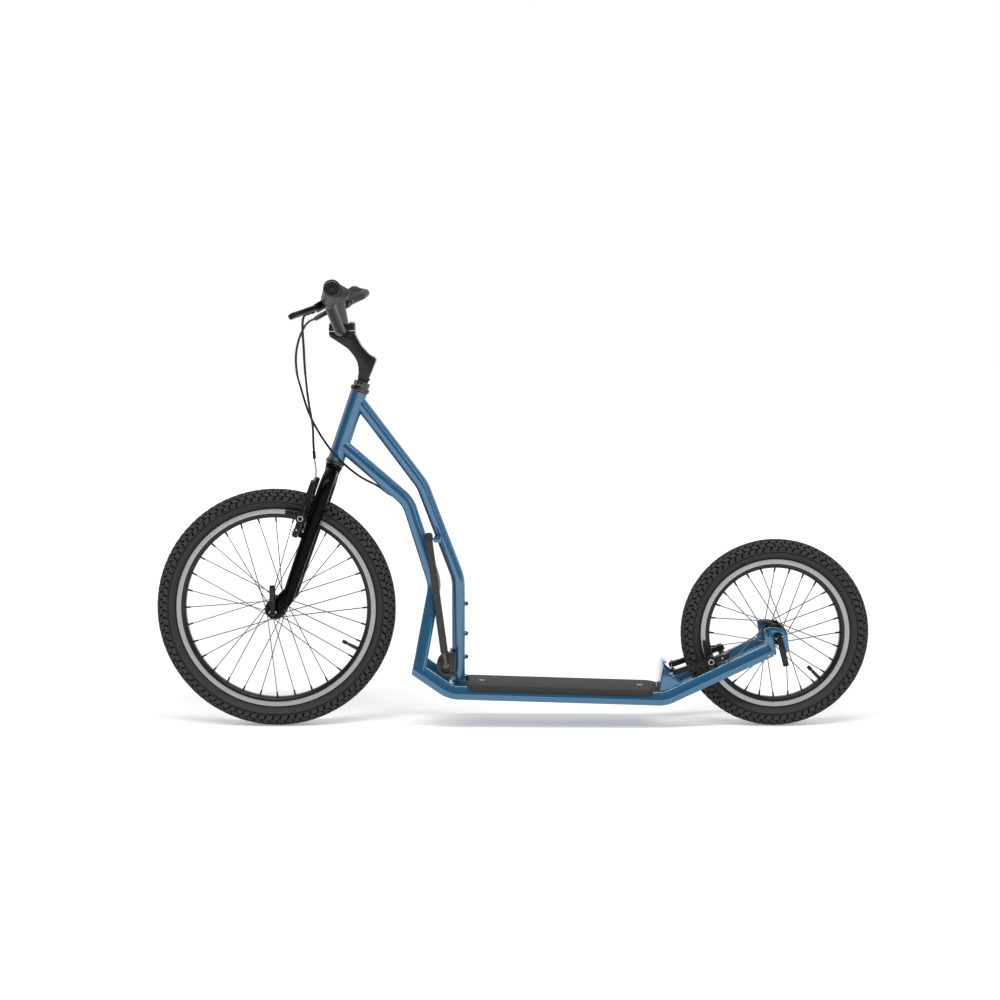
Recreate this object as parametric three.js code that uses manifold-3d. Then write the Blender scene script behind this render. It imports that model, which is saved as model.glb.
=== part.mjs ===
// Kick bike with a 20 inch front wheel, a 16 inch rear wheel, V-brakes and a folding side stand.
// Millimetres. +X points to the rear, -Y to the rider's left, +Z up.
// The origin is on the ground, under the middle of the whole bike.
import * as THREE from 'three';
import { mergeVertices } from 'three/addons/utils/BufferGeometryUtils.js';
import Module from 'manifold-3d';

const wasm = await Module();
wasm.setup();

// Clearances
const gap = 0.3;
const overrun = 1;
const weld = 0.001;
const bendSteps = 5;

// Layout of the wheels
const wheelbase = 1058;
const frontWheelRadius = 253;
const rearWheelRadius = 199.5;
const axleWidth = 106;
const wheelFacets = 36;

// Tyres and rims
const frontTyreWidth = 50.4;
const rearTyreWidth = 47;
const tyreWall = 4;
const treadFlat = 20;
const rimTyreDepth = 42;
const rimHeight = 19;
const rimWidth = 25;
const rimLip = 2;
const rimWellWidth = 10;
const rimInnerFlat = 14;
const rimBevel = 6;
const beadDepth = 7.5;
const wellDepth = 11;
const beadWidth = 2;
const valveRadius = 4;
const valveReach = 36;
const frontValveAngle = -27.5;
const rearValveAngle = -45.5;

// Hubs and spokes
const frontSpokes = 32;
const rearSpokes = 28;
const spokeRadius = 1.15;
const spokeCross = 3;
const nippleRadius = 2.3;
const nippleLength = 12;
const hubBarrelRadius = 13;
const flangeRadius = 22;
const flangeHoleRadius = 19;
const flangeSpacing = 60;
const flangeThickness = 3.4;
const hubNoseRadius = 15;
const hubNoseLength = 5;
const bearingRadius = 11;
const bearingLength = 7;
const axleRadius = 4.8;
const axleBore = 3;
const coneRadius = 8;
const skewerRadius = 2.4;
const skewerNutRadius = 9;
const skewerNutLength = 11;
const skewerHeadLength = 6;
const camRadius = 6.5;
const camWidth = 10;
const camEar = 3;
const camStandOff = 8;
const camPinRadius = 2;
const leverWidth = 12;
const leverThickness = 5;
const frontLeverLength = 57;
const rearLeverLength = 62;
const rearLeverTurn = 14.2;

// Steering axis
const headAngle = 19.1;
const forkOffset = 18.7;
const headTubeBase = 339.4;
const headTubeLength = 151.4;
const headTubeRadius = 18.3;
const headTubeWall = 2.6;

// Fork
const steererRadius = 12.6;
const steererWall = 1.3;
const legRadius = 14.4;
const legTaperShare = 0.12;
const legSpacing = 104;
const legBottom = 34;
const legStraightTop = 236;
const crownTop = 326;
const forkTabThickness = 6;
const forkTabRadius = 13;
const bossRadius = 6.5;
const bossReach = 21;
const studRadius = 4;
const armThickness = 12;

// Headset
const cupRadius = 21;
const cupHeight = 11;
const cupLip = 3;
const locknutRadius = 18;
const locknutHeight = 11;

// Stem
const stemStandOff = 7.9;
const stemReach = 74;
const stemRise = 78.6;
const stemWidth = 38;
const quillRadius = 11;
const quillDepth = 78;
const wedgeHeight = 22;
const stemBoltRadius = 3;
const clampTilt = 21;
const clampLength = 53;
const clampWidth = 44;
const capHeight = 15;
const clampBoltRadius = 4.6;
const clampBoltHead = 4;

// Handlebar and grips
const barRadius = 11.1;
const barWall = 2;
const barLowElbow = [0, 60, 0];
const barHighElbow = [-16.3, 137, 57];
const barEnd = [4.4, 287, 83];
const barBend = 42;
const gripStart = 180;
const gripRadius = 16.5;
const gripEnd = 3;
const wingReach = 36;
const wingThickness = 18;
const wingTipWidth = 62;
const leftWingDrop = 12;
const rightWingDrop = -8;

// Brake levers
const leverClampAt = 164;
const leverClampRadius = 15;
const leverClampWidth = 15;
const leverDrop = 32;
const leverPivotReach = 27;
const leverPivotRadius = 3;
const leverBodyHeight = 15;
const bladeLength = 105;
const bladeThickness = 10.5;
const bladeAngle = 40;
const bladeWidth = 15;

// V-brakes: pivots, arms and pads
const frontBossHeight = 170.7;
const padRise = 33;
const armLength = 116;
const armPivotRadius = 9;
const armTopWidth = 12;
const bossSpacing = 104;
const padOffset = 12;
const rearBossShare = 0.61422;
const rearArmAngle = 18.8;
const armTopSpacing = 90;
const padLength = 52;
const padHeight = 10;
const padThickness = 9;
const padRimGap = 2;
const padPostRadius = 3;
const padWasherRadius = 8;
const padNutRadius = 6.5;
const padNutLength = 6;

// Points of the frame's upper end: X is behind the front axle. At the deck and the stand, X is behind
// the deck's front end, and a name says so where it is behind another place

// Top tube and upright
const topTubeRadius = 14;
const topTubeWall = 1.8;
const topTubePoints = [[173.25, 0, 696], [310.55, 0, 513.7]];
const uprightPoints = [[3, 0, 314.8], [3, 0, 95.2]];
const topTubeBend = 95;
const screwBossHeights = [104, 147, 197, 261];
const screwBossRadius = 5;
const screwBossReach = 2.5;
const screwHeadRadius = 4.5;
const screwHeadReach = 3;

// Down tubes
const downTubeDepth = 27;
const downTubeWidth = 17.5;
const downTubeWall = 1.8;
const downTubePoints = [[144.25, 9.4, 596.4], [280.25, 12, 478.3]];
const downTubeKnee = [-47, 22, 303];
const downTubeFoot = [-79.2, 127.8];
const downTubeBend = 70;

// Side rails
const railSpacing = 112;
const railHeight = 29;
const railCreaseShare = 0.43;
const railCreaseWidth = 21;
const railTopWidth = 8;
const railBottomWidth = 11;
const railWall = 2;
const railFrontPoints = [[-107, 145.2], [-13.6, 80.75]];
const railToRearAxlePoints = [[-236.55, 66.95], [-15.15, 171.135]];
const railBend = 60;

// Deck
const deckReach = 383.25;
const deckToRearAxle = 251.75;
const deckPlateLead = 17;
const deckPlateThickness = 3;
const matThickness = 2.6;
const matSkirtDrop = 11;
const matCorner = 26;
const deckScrewRadius = 6;
const deckScrewHead = 2.4;
const deckScrewLength = 9;
const deckScrewInset = 52;

// Heel bracket
const heelGap = 2;
const heelHeight = 58;
const heelLean = 8;
const heelTab = 9;
const heelSheet = 3;
const heelTopWidth = 48;
const heelShoulder = 50;
const gussetLength = 58;
const gussetToe = 15;
const gussetWaist = [27, 34];

// Dropouts
const dropoutThickness = 5;
const dropoutSlot = 10.4;
const dropoutSlotAngle = 85;
const dropoutDrop = 46;
const dropoutShares = [
  [-0.652, 0.348], [-0.478, 0.402], [-0.304, 0.424], [-0.087, 0.413], [0.152, 0.37], [0.326, 0.239],
  [0.435, 0.065], [0.457, -0.174], [0.489, -0.435], [0.522, -0.63], [0.457, -0.75], [0.337, -0.707],
  [0.272, -0.435], [0.152, -0.185], [-0.152, -0.185], [-0.13, -0.435], [-0.065, -0.804],
  [-0.152, -0.891], [-0.304, -0.717], [-0.652, -0.478], [-0.565, -0.174],
];

// Side stand
const standPivotPoint = [-22, -43.5, 133];
const standLegRadius = 8;
const standTipRadius = 6.5;
const standTipLength = 34;
const standFootRadius = 9.5;
const standFootLength = 16;
const standPinRadius = 3.5;
const standCaseRadius = 25;
const standCaseWidth = 25;
const standCasePoint = [-17, 139];
const standSlotWidth = 20;
const standSlotBelow = 14;
const standPlateThickness = 4;
const standPlateHeight = 74;
const holderHeight = 402;
const holderAhead = 10.3;
const holderSide = -26;
const holderSize = [16, 40, 12];
const standTopFromHolder = [-19.5, 14];

// Cable
const cableRadius = 2.5;
const cableSides = 5;
const cableStep = 19;
const cableLead = 14;
const frontCableRoute = [
  [-425, -138, 795], [-426, -92, 735], [-424, -62, 690], [-418, -45, 640], [-417, -41, 601], [-415, -43, 572],
];
const rearCableRoute = [
  [-442, 115, 856], [-454, 62, 826], [-458, 18, 788],
  [-453, -12, 749], [-444, -26, 720], [-423, -36, 659], [-384, -38, 594], [-354, -36, 561],
  [-319, -26, 532], [-285, -8, 512], [-262, 0, 494], [-243, 0, 484], [-224, 0, 466], [-208, 0, 434],
  [-189, 0, 378], [-173, 0, 322], [-171, 0, 290], [-182, 0, 220], [-192, -10, 165],
  [-183, -26, 125], [-160, -30, 99], [-136, -24, 82], [-110, -18, 75], [-40, -14, 70],
  [120, -12, 65], [262, -14, 60], [298, -18, 65], [316, -30, 82], [320, -41, 102],
];

// Materials
const paint = (colour, roughness, metalness) =>
  new THREE.MeshStandardMaterial({ color: colour, roughness, metalness });
const blueFrame = paint(0x2f6a96, 0.35, 0.45);
const blackGloss = paint(0x0c0c0d, 0.18, 0.2);
const blackSatin = paint(0x1c1c1d, 0.45, 0.3);
const greyCast = paint(0x3c3a39, 0.55, 0.4);
const rubber = paint(0x2b2b2a, 0.85, 0);
const alloy = paint(0xcfd0d1, 0.35, 0.9);
const steel = paint(0x8d8f91, 0.35, 0.9);
const gunmetal = paint(0x4a4a48, 0.25, 0.9);
const matPlastic = paint(0x33312f, 0.6, 0);
const butyl = paint(0x161616, 0.7, 0);

// Working places that follow from the sizes
const degrees = THREE.MathUtils.degToRad;
const bikeLength = wheelbase + frontWheelRadius + rearWheelRadius;
const frontAxleX = frontWheelRadius - bikeLength / 2;
const rearAxleX = frontAxleX + wheelbase;
const tilt = degrees(headAngle);
const deckFrontX = frontAxleX + deckReach;
const behind = (startX) => ([x, ...rest]) => [startX + x, ...rest];
const onRail = (startX) => ([x, z]) => [startX + x, railSpacing / 2, z];
const topTubePath = [...topTubePoints.map(behind(frontAxleX)), ...uprightPoints.map(behind(deckFrontX))];
const downTubePath = [
  ...downTubePoints.map(behind(frontAxleX)), behind(deckFrontX)(downTubeKnee),
  onRail(deckFrontX)(downTubeFoot),
];
const railPath = [...railFrontPoints.map(onRail(deckFrontX)), ...railToRearAxlePoints.map(onRail(rearAxleX))];
const deckLength = wheelbase - deckReach - deckToRearAxle;
const standPivot = behind(deckFrontX)(standPivotPoint);
const standCaseCentre = behind(deckFrontX)(standCasePoint);
const topTubeXAt = (z) => THREE.MathUtils.mapLinear(
  z, topTubePath[1][2], topTubePath[2][2], topTubePath[1][0], topTubePath[2][0]);
const holderPlace = [topTubeXAt(holderHeight) - holderAhead, holderSide, holderHeight];
const standTop = [
  holderPlace[0] + standTopFromHolder[0], standPivot[1], holderHeight + standTopFromHolder[1],
];
const steering = new THREE.Group();
steering.position.set(
  frontAxleX + forkOffset * Math.cos(tilt), 0, frontWheelRadius - forkOffset * Math.sin(tilt));
steering.rotation.y = tilt;
const bike = new THREE.Group();
const frontBrake = new THREE.Group();
const rearBrake = new THREE.Group();
bike.add(steering);

// Solids and meshes
function outward(geometry) {
  const flat = geometry.index ? geometry.toNonIndexed() : geometry.clone();
  const at = flat.attributes.position;
  const corner = [new THREE.Vector3(), new THREE.Vector3(), new THREE.Vector3()];
  let volume = 0;
  for (let i = 0; i < at.count; i += 3) {
    corner.forEach((point, k) => point.fromBufferAttribute(at, i + k));
    volume += corner[0].dot(corner[1].clone().cross(corner[2]));
  }
  if (volume < 0) {
    for (let i = 0; i < at.count; i += 3) {
      corner[1].fromBufferAttribute(at, i + 1);
      corner[2].fromBufferAttribute(at, i + 2);
      at.setXYZ(i + 1, corner[2].x, corner[2].y, corner[2].z);
      at.setXYZ(i + 2, corner[1].x, corner[1].y, corner[1].z);
    }
  }
  return flat;
}

function toSolid(geometry) {
  const bare = outward(geometry);
  bare.deleteAttribute('normal');
  bare.deleteAttribute('uv');
  const merged = mergeVertices(bare, weld);
  return new wasm.Manifold(new wasm.Mesh({
    numProp: 3,
    vertProperties: new Float32Array(merged.attributes.position.array),
    triVerts: new Uint32Array(merged.index.array),
  }));
}

function toGeometry(solid) {
  const mesh = solid.getMesh();
  const geometry = new THREE.BufferGeometry();
  geometry.setAttribute('position', new THREE.BufferAttribute(new Float32Array(mesh.vertProperties), 3));
  geometry.setIndex(new THREE.BufferAttribute(new Uint32Array(mesh.triVerts), 1));
  geometry.computeVertexNormals();
  return geometry;
}

const join = (first, ...others) =>
  toGeometry(others.reduce((solid, other) => solid.add(toSolid(other)), toSolid(first)));
const cut = (first, ...tools) =>
  toGeometry(tools.reduce((solid, tool) => solid.subtract(toSolid(tool)), toSolid(first)));
const common = (first, second) => toGeometry(toSolid(first).intersect(toSolid(second)));

function mirrored(geometry) {
  const copy = geometry.clone();
  copy.scale(1, -1, 1);
  return outward(copy);
}

function addPiece(name, geometry, material, parent = bike) {
  const mesh = new THREE.Mesh(geometry, material);
  mesh.name = name;
  parent.add(mesh);
  return mesh;
}

// Basic shapes
function rod(axis, radius, length, sides = 12, topRadius = radius) {
  const geometry = new THREE.CylinderGeometry(topRadius, radius, length, sides);
  if (axis === 'x') geometry.rotateZ(-Math.PI / 2);
  if (axis === 'z') geometry.rotateX(Math.PI / 2);
  return geometry;
}

// A cutting rod whose flat sides clear the given radius
const hole = (axis, radius, length, sides = 12) =>
  rod(axis, radius / Math.cos(Math.PI / sides), length, sides);

function rodBetween(start, end, radius, sides = 8) {
  const from = new THREE.Vector3(...start);
  const to = new THREE.Vector3(...end);
  const along = to.clone().sub(from);
  const geometry = new THREE.CylinderGeometry(radius, radius, along.length(), sides);
  const turn = new THREE.Quaternion().setFromUnitVectors(new THREE.Vector3(0, 1, 0), along.normalize());
  geometry.applyQuaternion(turn);
  const middle = from.add(to).multiplyScalar(1 / 2);
  return geometry.translate(middle.x, middle.y, middle.z);
}

const block = (sizeX, sizeY, sizeZ, x = 0, y = 0, z = 0) =>
  new THREE.BoxGeometry(sizeX, sizeY, sizeZ).translate(x, y, z);

function turned(profile, segments = wheelFacets) {
  const points = profile.map(([radius, along]) => new THREE.Vector2(radius, along));
  points.push(points[0].clone());
  const geometry = new THREE.LatheGeometry(points, segments);
  return geometry.rotateY(Math.PI / segments);
}

// A ring of a wheel, with the middle of each facet at the radius given
const wheelTurned = (profile) =>
  turned(profile.map(([radius, along]) => [radius / Math.cos(Math.PI / wheelFacets), along]));

const upright = (geometry) => geometry.rotateX(Math.PI / 2);

// A ring between two radii, along Y
const ring = (inner, outer, length, segments = 20) => turned([
  [inner, -length / 2], [outer, -length / 2], [outer, length / 2], [inner, length / 2],
], segments);

// A flat outline in X and Z, given its thickness along Y and centred on Y = 0
function plate(points, thickness) {
  const shape = new THREE.Shape(points.map(([x, z]) => new THREE.Vector2(x, z)));
  const geometry = new THREE.ExtrudeGeometry(shape, { depth: thickness, bevelEnabled: false });
  return geometry.rotateX(Math.PI / 2).translate(0, thickness / 2, 0);
}

// Points of an ellipse, with a flat side down
function ovalPoints(halfX, halfY, sides) {
  const points = [];
  for (let i = 0; i < sides; i += 1) {
    const angle = (i + 1 / 2) * 2 * Math.PI / sides;
    points.push(new THREE.Vector2(halfX * Math.cos(angle), halfY * Math.sin(angle)));
  }
  return points;
}

function tubeSection(outer, inner) {
  const shape = new THREE.Shape(outer);
  if (inner) shape.holes.push(new THREE.Path([...inner].reverse()));
  return shape;
}

// A path given by its points and directions, so that straight runs need no points between their ends
class StationPath extends THREE.Curve {
  constructor(stations) {
    super();
    this.stations = stations;
  }

  station(share) {
    return this.stations[Math.round(share * (this.stations.length - 1))];
  }

  getPointAt(share, target = new THREE.Vector3()) {
    return target.copy(this.station(share).point);
  }

  getTangentAt(share, target = new THREE.Vector3()) {
    return target.copy(this.station(share).direction);
  }
}

// Straight runs joined by bends of about the given radius
function bentPath(corners, bend, bendSteps) {
  const points = corners.map((corner) => new THREE.Vector3(...corner));
  const last = points.length - 1;
  const run = (from, to) => points[to].clone().sub(points[from]).normalize();
  const stations = [{ point: points[0], direction: run(0, 1) }];
  for (let i = 1; i < last; i += 1) {
    const before = run(i - 1, i);
    const after = run(i, i + 1);
    const reach = bend * Math.tan(before.angleTo(after) / 2);
    const arc = new THREE.QuadraticBezierCurve3(
      points[i].clone().addScaledVector(before, -reach), points[i],
      points[i].clone().addScaledVector(after, reach));
    for (let step = 0; step <= bendSteps; step += 1) {
      const share = step / bendSteps;
      stations.push({ point: arc.getPoint(share), direction: arc.getTangent(share) });
    }
  }
  stations.push({ point: points[last], direction: run(last - 1, last) });
  return new StationPath(stations);
}

const sweep = (path, section, steps) =>
  new THREE.ExtrudeGeometry(section, { steps, bevelEnabled: false, extrudePath: path });
const sweepBent = (path, section) => sweep(path, section, path.stations.length - 1);

// Wheels: everything is made round the Y axis
const rimOuter = (wheelRadius) => wheelRadius - rimTyreDepth;
const rimInner = (wheelRadius) => rimOuter(wheelRadius) - rimHeight;
const bothSides = (half) => [...half, ...[...half].reverse().map(([radius, along]) => [radius, -along])];

function tyreGeometry(radius, width) {
  const seat = rimOuter(radius);
  const half = width / 2;
  const height = radius - seat;
  const beadOut = rimWidth / 2 - rimLip - gap - rimLip / 2;
  const shoulderShare = [0.13, 0.8];
  const bulgeShare = [0.4, 1];
  const flankShare = [0.7, 0.88];
  const innerShare = [0.52, 0.8];
  const outer = [
    [radius, treadFlat / 2],
    [radius - height * shoulderShare[0], half * shoulderShare[1]],
    [radius - height * bulgeShare[0], half * bulgeShare[1]],
    [radius - height * flankShare[0], half * flankShare[1]],
    [seat + gap, beadOut + rimLip / 2],
    [seat - beadDepth + gap, beadOut],
    [seat - beadDepth + gap, beadOut - beadWidth],
    [radius - height * innerShare[0], half * innerShare[1]],
    [radius - 2 * tyreWall, treadFlat / 2],
  ];
  return wheelTurned(bothSides(outer));
}

function tubeGeometry(radius, width, valveAngle) {
  const seat = rimOuter(radius);
  const height = radius - seat;
  const bulgeShare = [0.52, 0.74];
  const body = wheelTurned(bothSides([
    [seat - wellDepth + gap, rimWellWidth / 2 - gap * 2],
    [radius - height * bulgeShare[0], width / 2 * bulgeShare[1]],
    [radius - 2 * tyreWall - gap, treadFlat / 2 - gap],
  ]));
  const inner = seat - rimHeight - valveReach;
  const outer = seat - wellDepth + tyreWall;
  const valve = rod('x', valveRadius, outer - inner, 8).translate((outer + inner) / 2, 0, 0);
  return join(body, valve.rotateY(-degrees(valveAngle)));
}

function rimGeometry(radius, valveAngle) {
  const outer = rimOuter(radius);
  const inner = rimInner(radius);
  const half = rimWidth / 2;
  const body = wheelTurned(bothSides([
    [inner, rimInnerFlat / 2],
    [inner + rimBevel, half],
    [outer, half],
    [outer, half - rimLip],
    [outer - beadDepth, half - rimLip * 3 / 2],
    [outer - wellDepth, rimWellWidth / 2],
  ]));
  const bore = hole('x', valveRadius + gap, rimHeight * 2, 8).translate(outer - rimHeight, 0, 0);
  return cut(body, bore.rotateY(-degrees(valveAngle)));
}

function hubShell() {
  const inside = flangeSpacing / 2 - flangeThickness;
  const outside = flangeSpacing / 2;
  const end = outside + hubNoseLength;
  const waistShare = 0.8;
  return turned([
    [axleRadius + overrun, 0],
    [axleRadius + overrun, end - bearingLength - gap],
    [bearingRadius + gap, end - bearingLength - gap],
    [bearingRadius + gap, end],
    [hubNoseRadius, end],
    [hubNoseRadius, outside],
    [flangeRadius, outside],
    [flangeRadius, inside],
    [hubBarrelRadius, inside * waistShare],
    [hubBarrelRadius, -inside * waistShare],
    [flangeRadius, -inside],
    [flangeRadius, -outside],
    [hubNoseRadius, -outside],
    [hubNoseRadius, -end],
    [bearingRadius + gap, -end],
    [bearingRadius + gap, gap + bearingLength - end],
    [axleRadius + overrun, gap + bearingLength - end],
  ], 16);
}

function lacedHubGeometry(radius, count) {
  const rimRadius = rimInner(radius);
  const perFlange = count / 2;
  const lead = spokeCross * 2 * Math.PI / perFlange;
  const pieces = [];
  for (let i = 0; i < count; i += 1) {
    const side = i % 2 ? 1 : -1;
    const crossing = Math.floor(i / 2) % 2 ? 1 : -1;
    const rimAngle = i * 2 * Math.PI / count;
    const hubAngle = rimAngle + crossing * lead;
    const flangeMiddle = (flangeSpacing - flangeThickness) / 2;
    const hubY = side * (flangeMiddle + crossing * (flangeThickness / 2 + spokeRadius / 2));
    const hubEnd = [flangeHoleRadius * Math.cos(hubAngle), hubY, flangeHoleRadius * Math.sin(hubAngle)];
    const rimY = side * nippleRadius / 2;
    const toRim = (r) => [r * Math.cos(rimAngle), rimY, r * Math.sin(rimAngle)];
    const rimEnd = toRim(rimRadius - nippleLength / 2);
    const top = rimRadius - gap * 2;
    const along = new THREE.Vector3(...hubEnd).sub(new THREE.Vector3(...rimEnd)).normalize();
    const tip = toRim(top);
    const foot = [0, 1, 2].map((k) => tip[k] + along.getComponent(k) * nippleLength);
    pieces.push(rodBetween(hubEnd, rimEnd, spokeRadius, 3));
    pieces.push(rodBetween(foot, tip, nippleRadius, 4));
  }
  return join(hubShell(), ...pieces);
}

function axleGeometry() {
  const end = axleWidth / 2 - gap;
  const coneIn = flangeSpacing / 2 + hubNoseLength + gap;
  const tip = end + dropoutThickness * 4 / 5;
  return turned([
    [axleBore, -tip], [axleRadius, -tip], [axleRadius, -end], [coneRadius, -end], [coneRadius, -coneIn],
    [axleRadius, -coneIn], [axleRadius, coneIn], [coneRadius, coneIn], [coneRadius, end],
    [axleRadius, end], [axleRadius, tip], [axleBore, tip],
  ], 10);
}

const bearingGeometry = () => ring(axleRadius + gap, bearingRadius, bearingLength - gap, 12);

// The skewer lies along Y with its lever's head at -Y and its nut at +Y
function skewerGeometry(plateThickness) {
  const face = axleWidth / 2 + plateThickness + gap;
  const camAt = face + skewerHeadLength + camStandOff;
  const shaft = rod('y', skewerRadius, face * 2, 8);
  const nut = rod('y', skewerNutRadius, skewerNutLength, 12).translate(0, face + skewerNutLength / 2, 0);
  const head = rod('y', skewerNutRadius, skewerHeadLength, 12)
    .translate(0, -face - skewerHeadLength / 2, 0);
  const earX = camWidth / 2 + gap + camEar / 2;
  const earLength = camStandOff + camPinRadius * 2;
  const ears = [-earX, earX].map((x) => block(
    camEar, earLength + overrun, camPinRadius * 4, x, overrun / 2 - face - skewerHeadLength - earLength / 2, 0));
  const pin = rod('x', camPinRadius, camWidth + gap * 2 + camEar * 2, 8).translate(0, -camAt, 0);
  return join(shaft, nut, head, ...ears, pin);
}

const camCentreY = (plateThickness) => -(axleWidth / 2 + plateThickness + gap + skewerHeadLength + camStandOff);

function qrLeverGeometry(length) {
  const cam = rod('x', camRadius, camWidth, 12);
  const grow = leverWidth / 2;
  const start = camRadius / 2;
  const arm = plate([
    [-camWidth / 2, 0], [camWidth / 2, 0], [camWidth / 2, camRadius], [grow, camRadius * 3],
    [grow, length - grow / 2], [grow / 2, length], [-grow / 2, length], [-grow, length - grow / 2],
    [-grow, camRadius * 3], [-camWidth / 2, camRadius],
  ], leverThickness).translate(0, -start / 2, 0);
  const bore = hole('x', camPinRadius + gap, camWidth + overrun * 2, 8);
  return cut(join(cam, arm), bore);
}

function addWheel(end, radius, width, spokes, valveAngle, leverLength, leverTurn, x, plateThickness) {
  const group = new THREE.Group();
  group.position.set(x, 0, radius);
  bike.add(group);
  addPiece(`${end}_tyre`, tyreGeometry(radius, width), rubber, group);
  addPiece(`${end}_inner_tube`, tubeGeometry(radius, width, valveAngle), butyl, group);
  addPiece(`${end}_rim`, rimGeometry(radius, valveAngle), alloy, group);
  addPiece(`${end}_laced_hub`, lacedHubGeometry(radius, spokes), blackSatin, group);
  addPiece(`${end}_axle`, axleGeometry(), steel, group);
  const bearingY = flangeSpacing / 2 + hubNoseLength - bearingLength / 2;
  addPiece(`${end}_hub_bearing_left`, bearingGeometry(), steel, group).position.y = -bearingY;
  addPiece(`${end}_hub_bearing_right`, bearingGeometry(), steel, group).position.y = bearingY;
  addPiece(`${end}_skewer`, skewerGeometry(plateThickness), blackSatin, group).rotation.y = leverTurn;
  const lever = addPiece(`${end}_quick_release_lever`, qrLeverGeometry(leverLength), blackSatin, group);
  lever.position.y = camCentreY(plateThickness);
  lever.rotation.y = leverTurn;
}

// Steering parts: Z runs up the steering axis from the level of the front axle
const headTubeTop = headTubeBase + headTubeLength;
const cupInsert = 8;
const headTubeBore = headTubeRadius - headTubeWall;
const locknutBase = headTubeTop + cupHeight + gap;
const steererTop = locknutBase + locknutHeight;
const stemBase = steererTop + stemStandOff;

function headTubeGeometry() {
  return upright(ring(headTubeBore, headTubeRadius, headTubeLength, 20))
    .translate(0, 0, (headTubeBase + headTubeTop) / 2);
}

// A cup seen with its lip towards +Z: pressed into the tube below it
function cupGeometry() {
  return upright(turned([
    [steererRadius + gap * 3, 0], [headTubeRadius, 0], [cupRadius, -cupLip],
    [cupRadius, -cupHeight + cupLip], [headTubeRadius + overrun, -cupHeight],
    [headTubeRadius - headTubeWall - gap, -cupHeight],
    [headTubeRadius - headTubeWall - gap, -cupHeight - cupInsert],
    [steererRadius + gap * 3, -cupHeight - cupInsert],
  ].map(([radius, along]) => [radius, -along]), 14)).rotateX(Math.PI);
}

function ballRaceGeometry() {
  return upright(ring(steererRadius + gap * 2, headTubeBore - gap, bearingLength, 14));
}

function locknutGeometry() {
  const bore = hole('y', steererRadius + gap, locknutHeight * 2, 14);
  return upright(cut(rod('y', locknutRadius, locknutHeight, 6), bore));
}

function forkLegs() {
  const half = legSpacing / 2;
  const archBend = half * 4 / 5;
  const archTop = crownTop - legRadius;
  const path = bentPath([
    [0, -half, legBottom], [0, -half, archTop - archBend / 2], [0, -half / 3, archTop],
    [0, half / 3, archTop], [0, half, archTop - archBend / 2], [0, half, legBottom],
  ], archBend, bendSteps);
  const legs = sweepBent(path, tubeSection(ovalPoints(legRadius, legRadius, 10)));
  const at = legs.attributes.position;
  for (let i = 0; i < at.count; i += 1) {
    const share = THREE.MathUtils.clamp((legStraightTop - at.getZ(i)) / (legStraightTop - legBottom), 0, 1);
    const shrink = 1 - legTaperShare * share;
    const centre = Math.sign(at.getY(i)) * half;
    if (share > 0) at.setXYZ(i, at.getX(i) * shrink, centre + (at.getY(i) - centre) * shrink, at.getZ(i));
  }
  return legs;
}

function forkTab() {
  const outline = [
    [legRadius * 3 / 4, legBottom + legRadius], [-legRadius * 3 / 4, legBottom + legRadius],
    [-forkOffset - forkTabRadius, forkTabRadius * 3 / 4],
    [-forkOffset - forkTabRadius, -forkTabRadius / 2],
    [-forkOffset - forkTabRadius / 2, -forkTabRadius], [-forkOffset + forkTabRadius / 2, -forkTabRadius],
    [-forkOffset + forkTabRadius, 0], [legRadius * 3 / 4, legBottom - legRadius / 2],
  ];
  const slot = axleRadius + gap;
  const tab = plate(outline, forkTabThickness);
  const eye = hole('y', slot, forkTabThickness * 2, 10).translate(-forkOffset, 0, 0);
  const mouth = block(slot * 2, forkTabThickness * 2, forkTabRadius * 2, -forkOffset, 0, -forkTabRadius);
  return cut(tab, eye, mouth).translate(0, axleWidth / 2 + forkTabThickness / 2, 0);
}

// A brake boss with the stud that an arm turns on; it points along -X from a surface at X = 0
function brakeBoss() {
  const shoulder = rod('x', bossRadius, bossReach, 10).translate(-bossReach / 2, 0, 0);
  const studLength = armThickness + gap * 2;
  const stud = rod('x', studRadius, studLength + overrun, 10)
    .translate(-bossReach - studLength / 2 + overrun / 2, 0, 0);
  return join(shoulder, stud);
}

function forkGeometry() {
  const steererBase = crownTop - legRadius;
  const steererLength = steererTop - steererBase;
  const steerer = upright(rod('y', steererRadius, steererLength, 14))
    .translate(0, 0, steererBase + steererLength / 2);
  const raceLength = headTubeBase - cupHeight - gap - steererBase;
  const race = upright(rod('y', headTubeRadius, raceLength, 16, headTubeRadius))
    .translate(0, 0, (headTubeBase - cupHeight - gap + steererBase) / 2);
  const bossAt = bossSpacing / 2;
  const boss = brakeBoss().translate(0, bossAt, frontBossHeight);
  const tab = forkTab();
  const boreLength = steererLength - legRadius / 2;
  const bore = upright(hole('y', steererRadius - steererWall, boreLength + overrun, 14))
    .translate(0, 0, steererTop + overrun - (boreLength + overrun) / 2);
  const legs = forkLegs();
  return cut(join(legs, steerer, race, boss, mirrored(boss), tab, mirrored(tab)), bore);
}

// Stem: a quill in the steerer, a forged neck and the lower half of the bar clamp
const clampX = -stemReach;
const clampZ = stemBase + stemRise;
const clampTurn = -degrees(clampTilt);
const neckShares = [
  [-0.14, 0], [0.15, 0.03], [0.18, 0.59], [-0.09, 0.66], [-0.36, 0.8], [-0.65, 1.06],
  [-0.98, 0.92], [-1.3, 0.76], [-0.91, 0.67], [-0.67, 0.61], [-0.46, 0.49], [-0.31, 0.37], [-0.22, 0.22],
];

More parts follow.
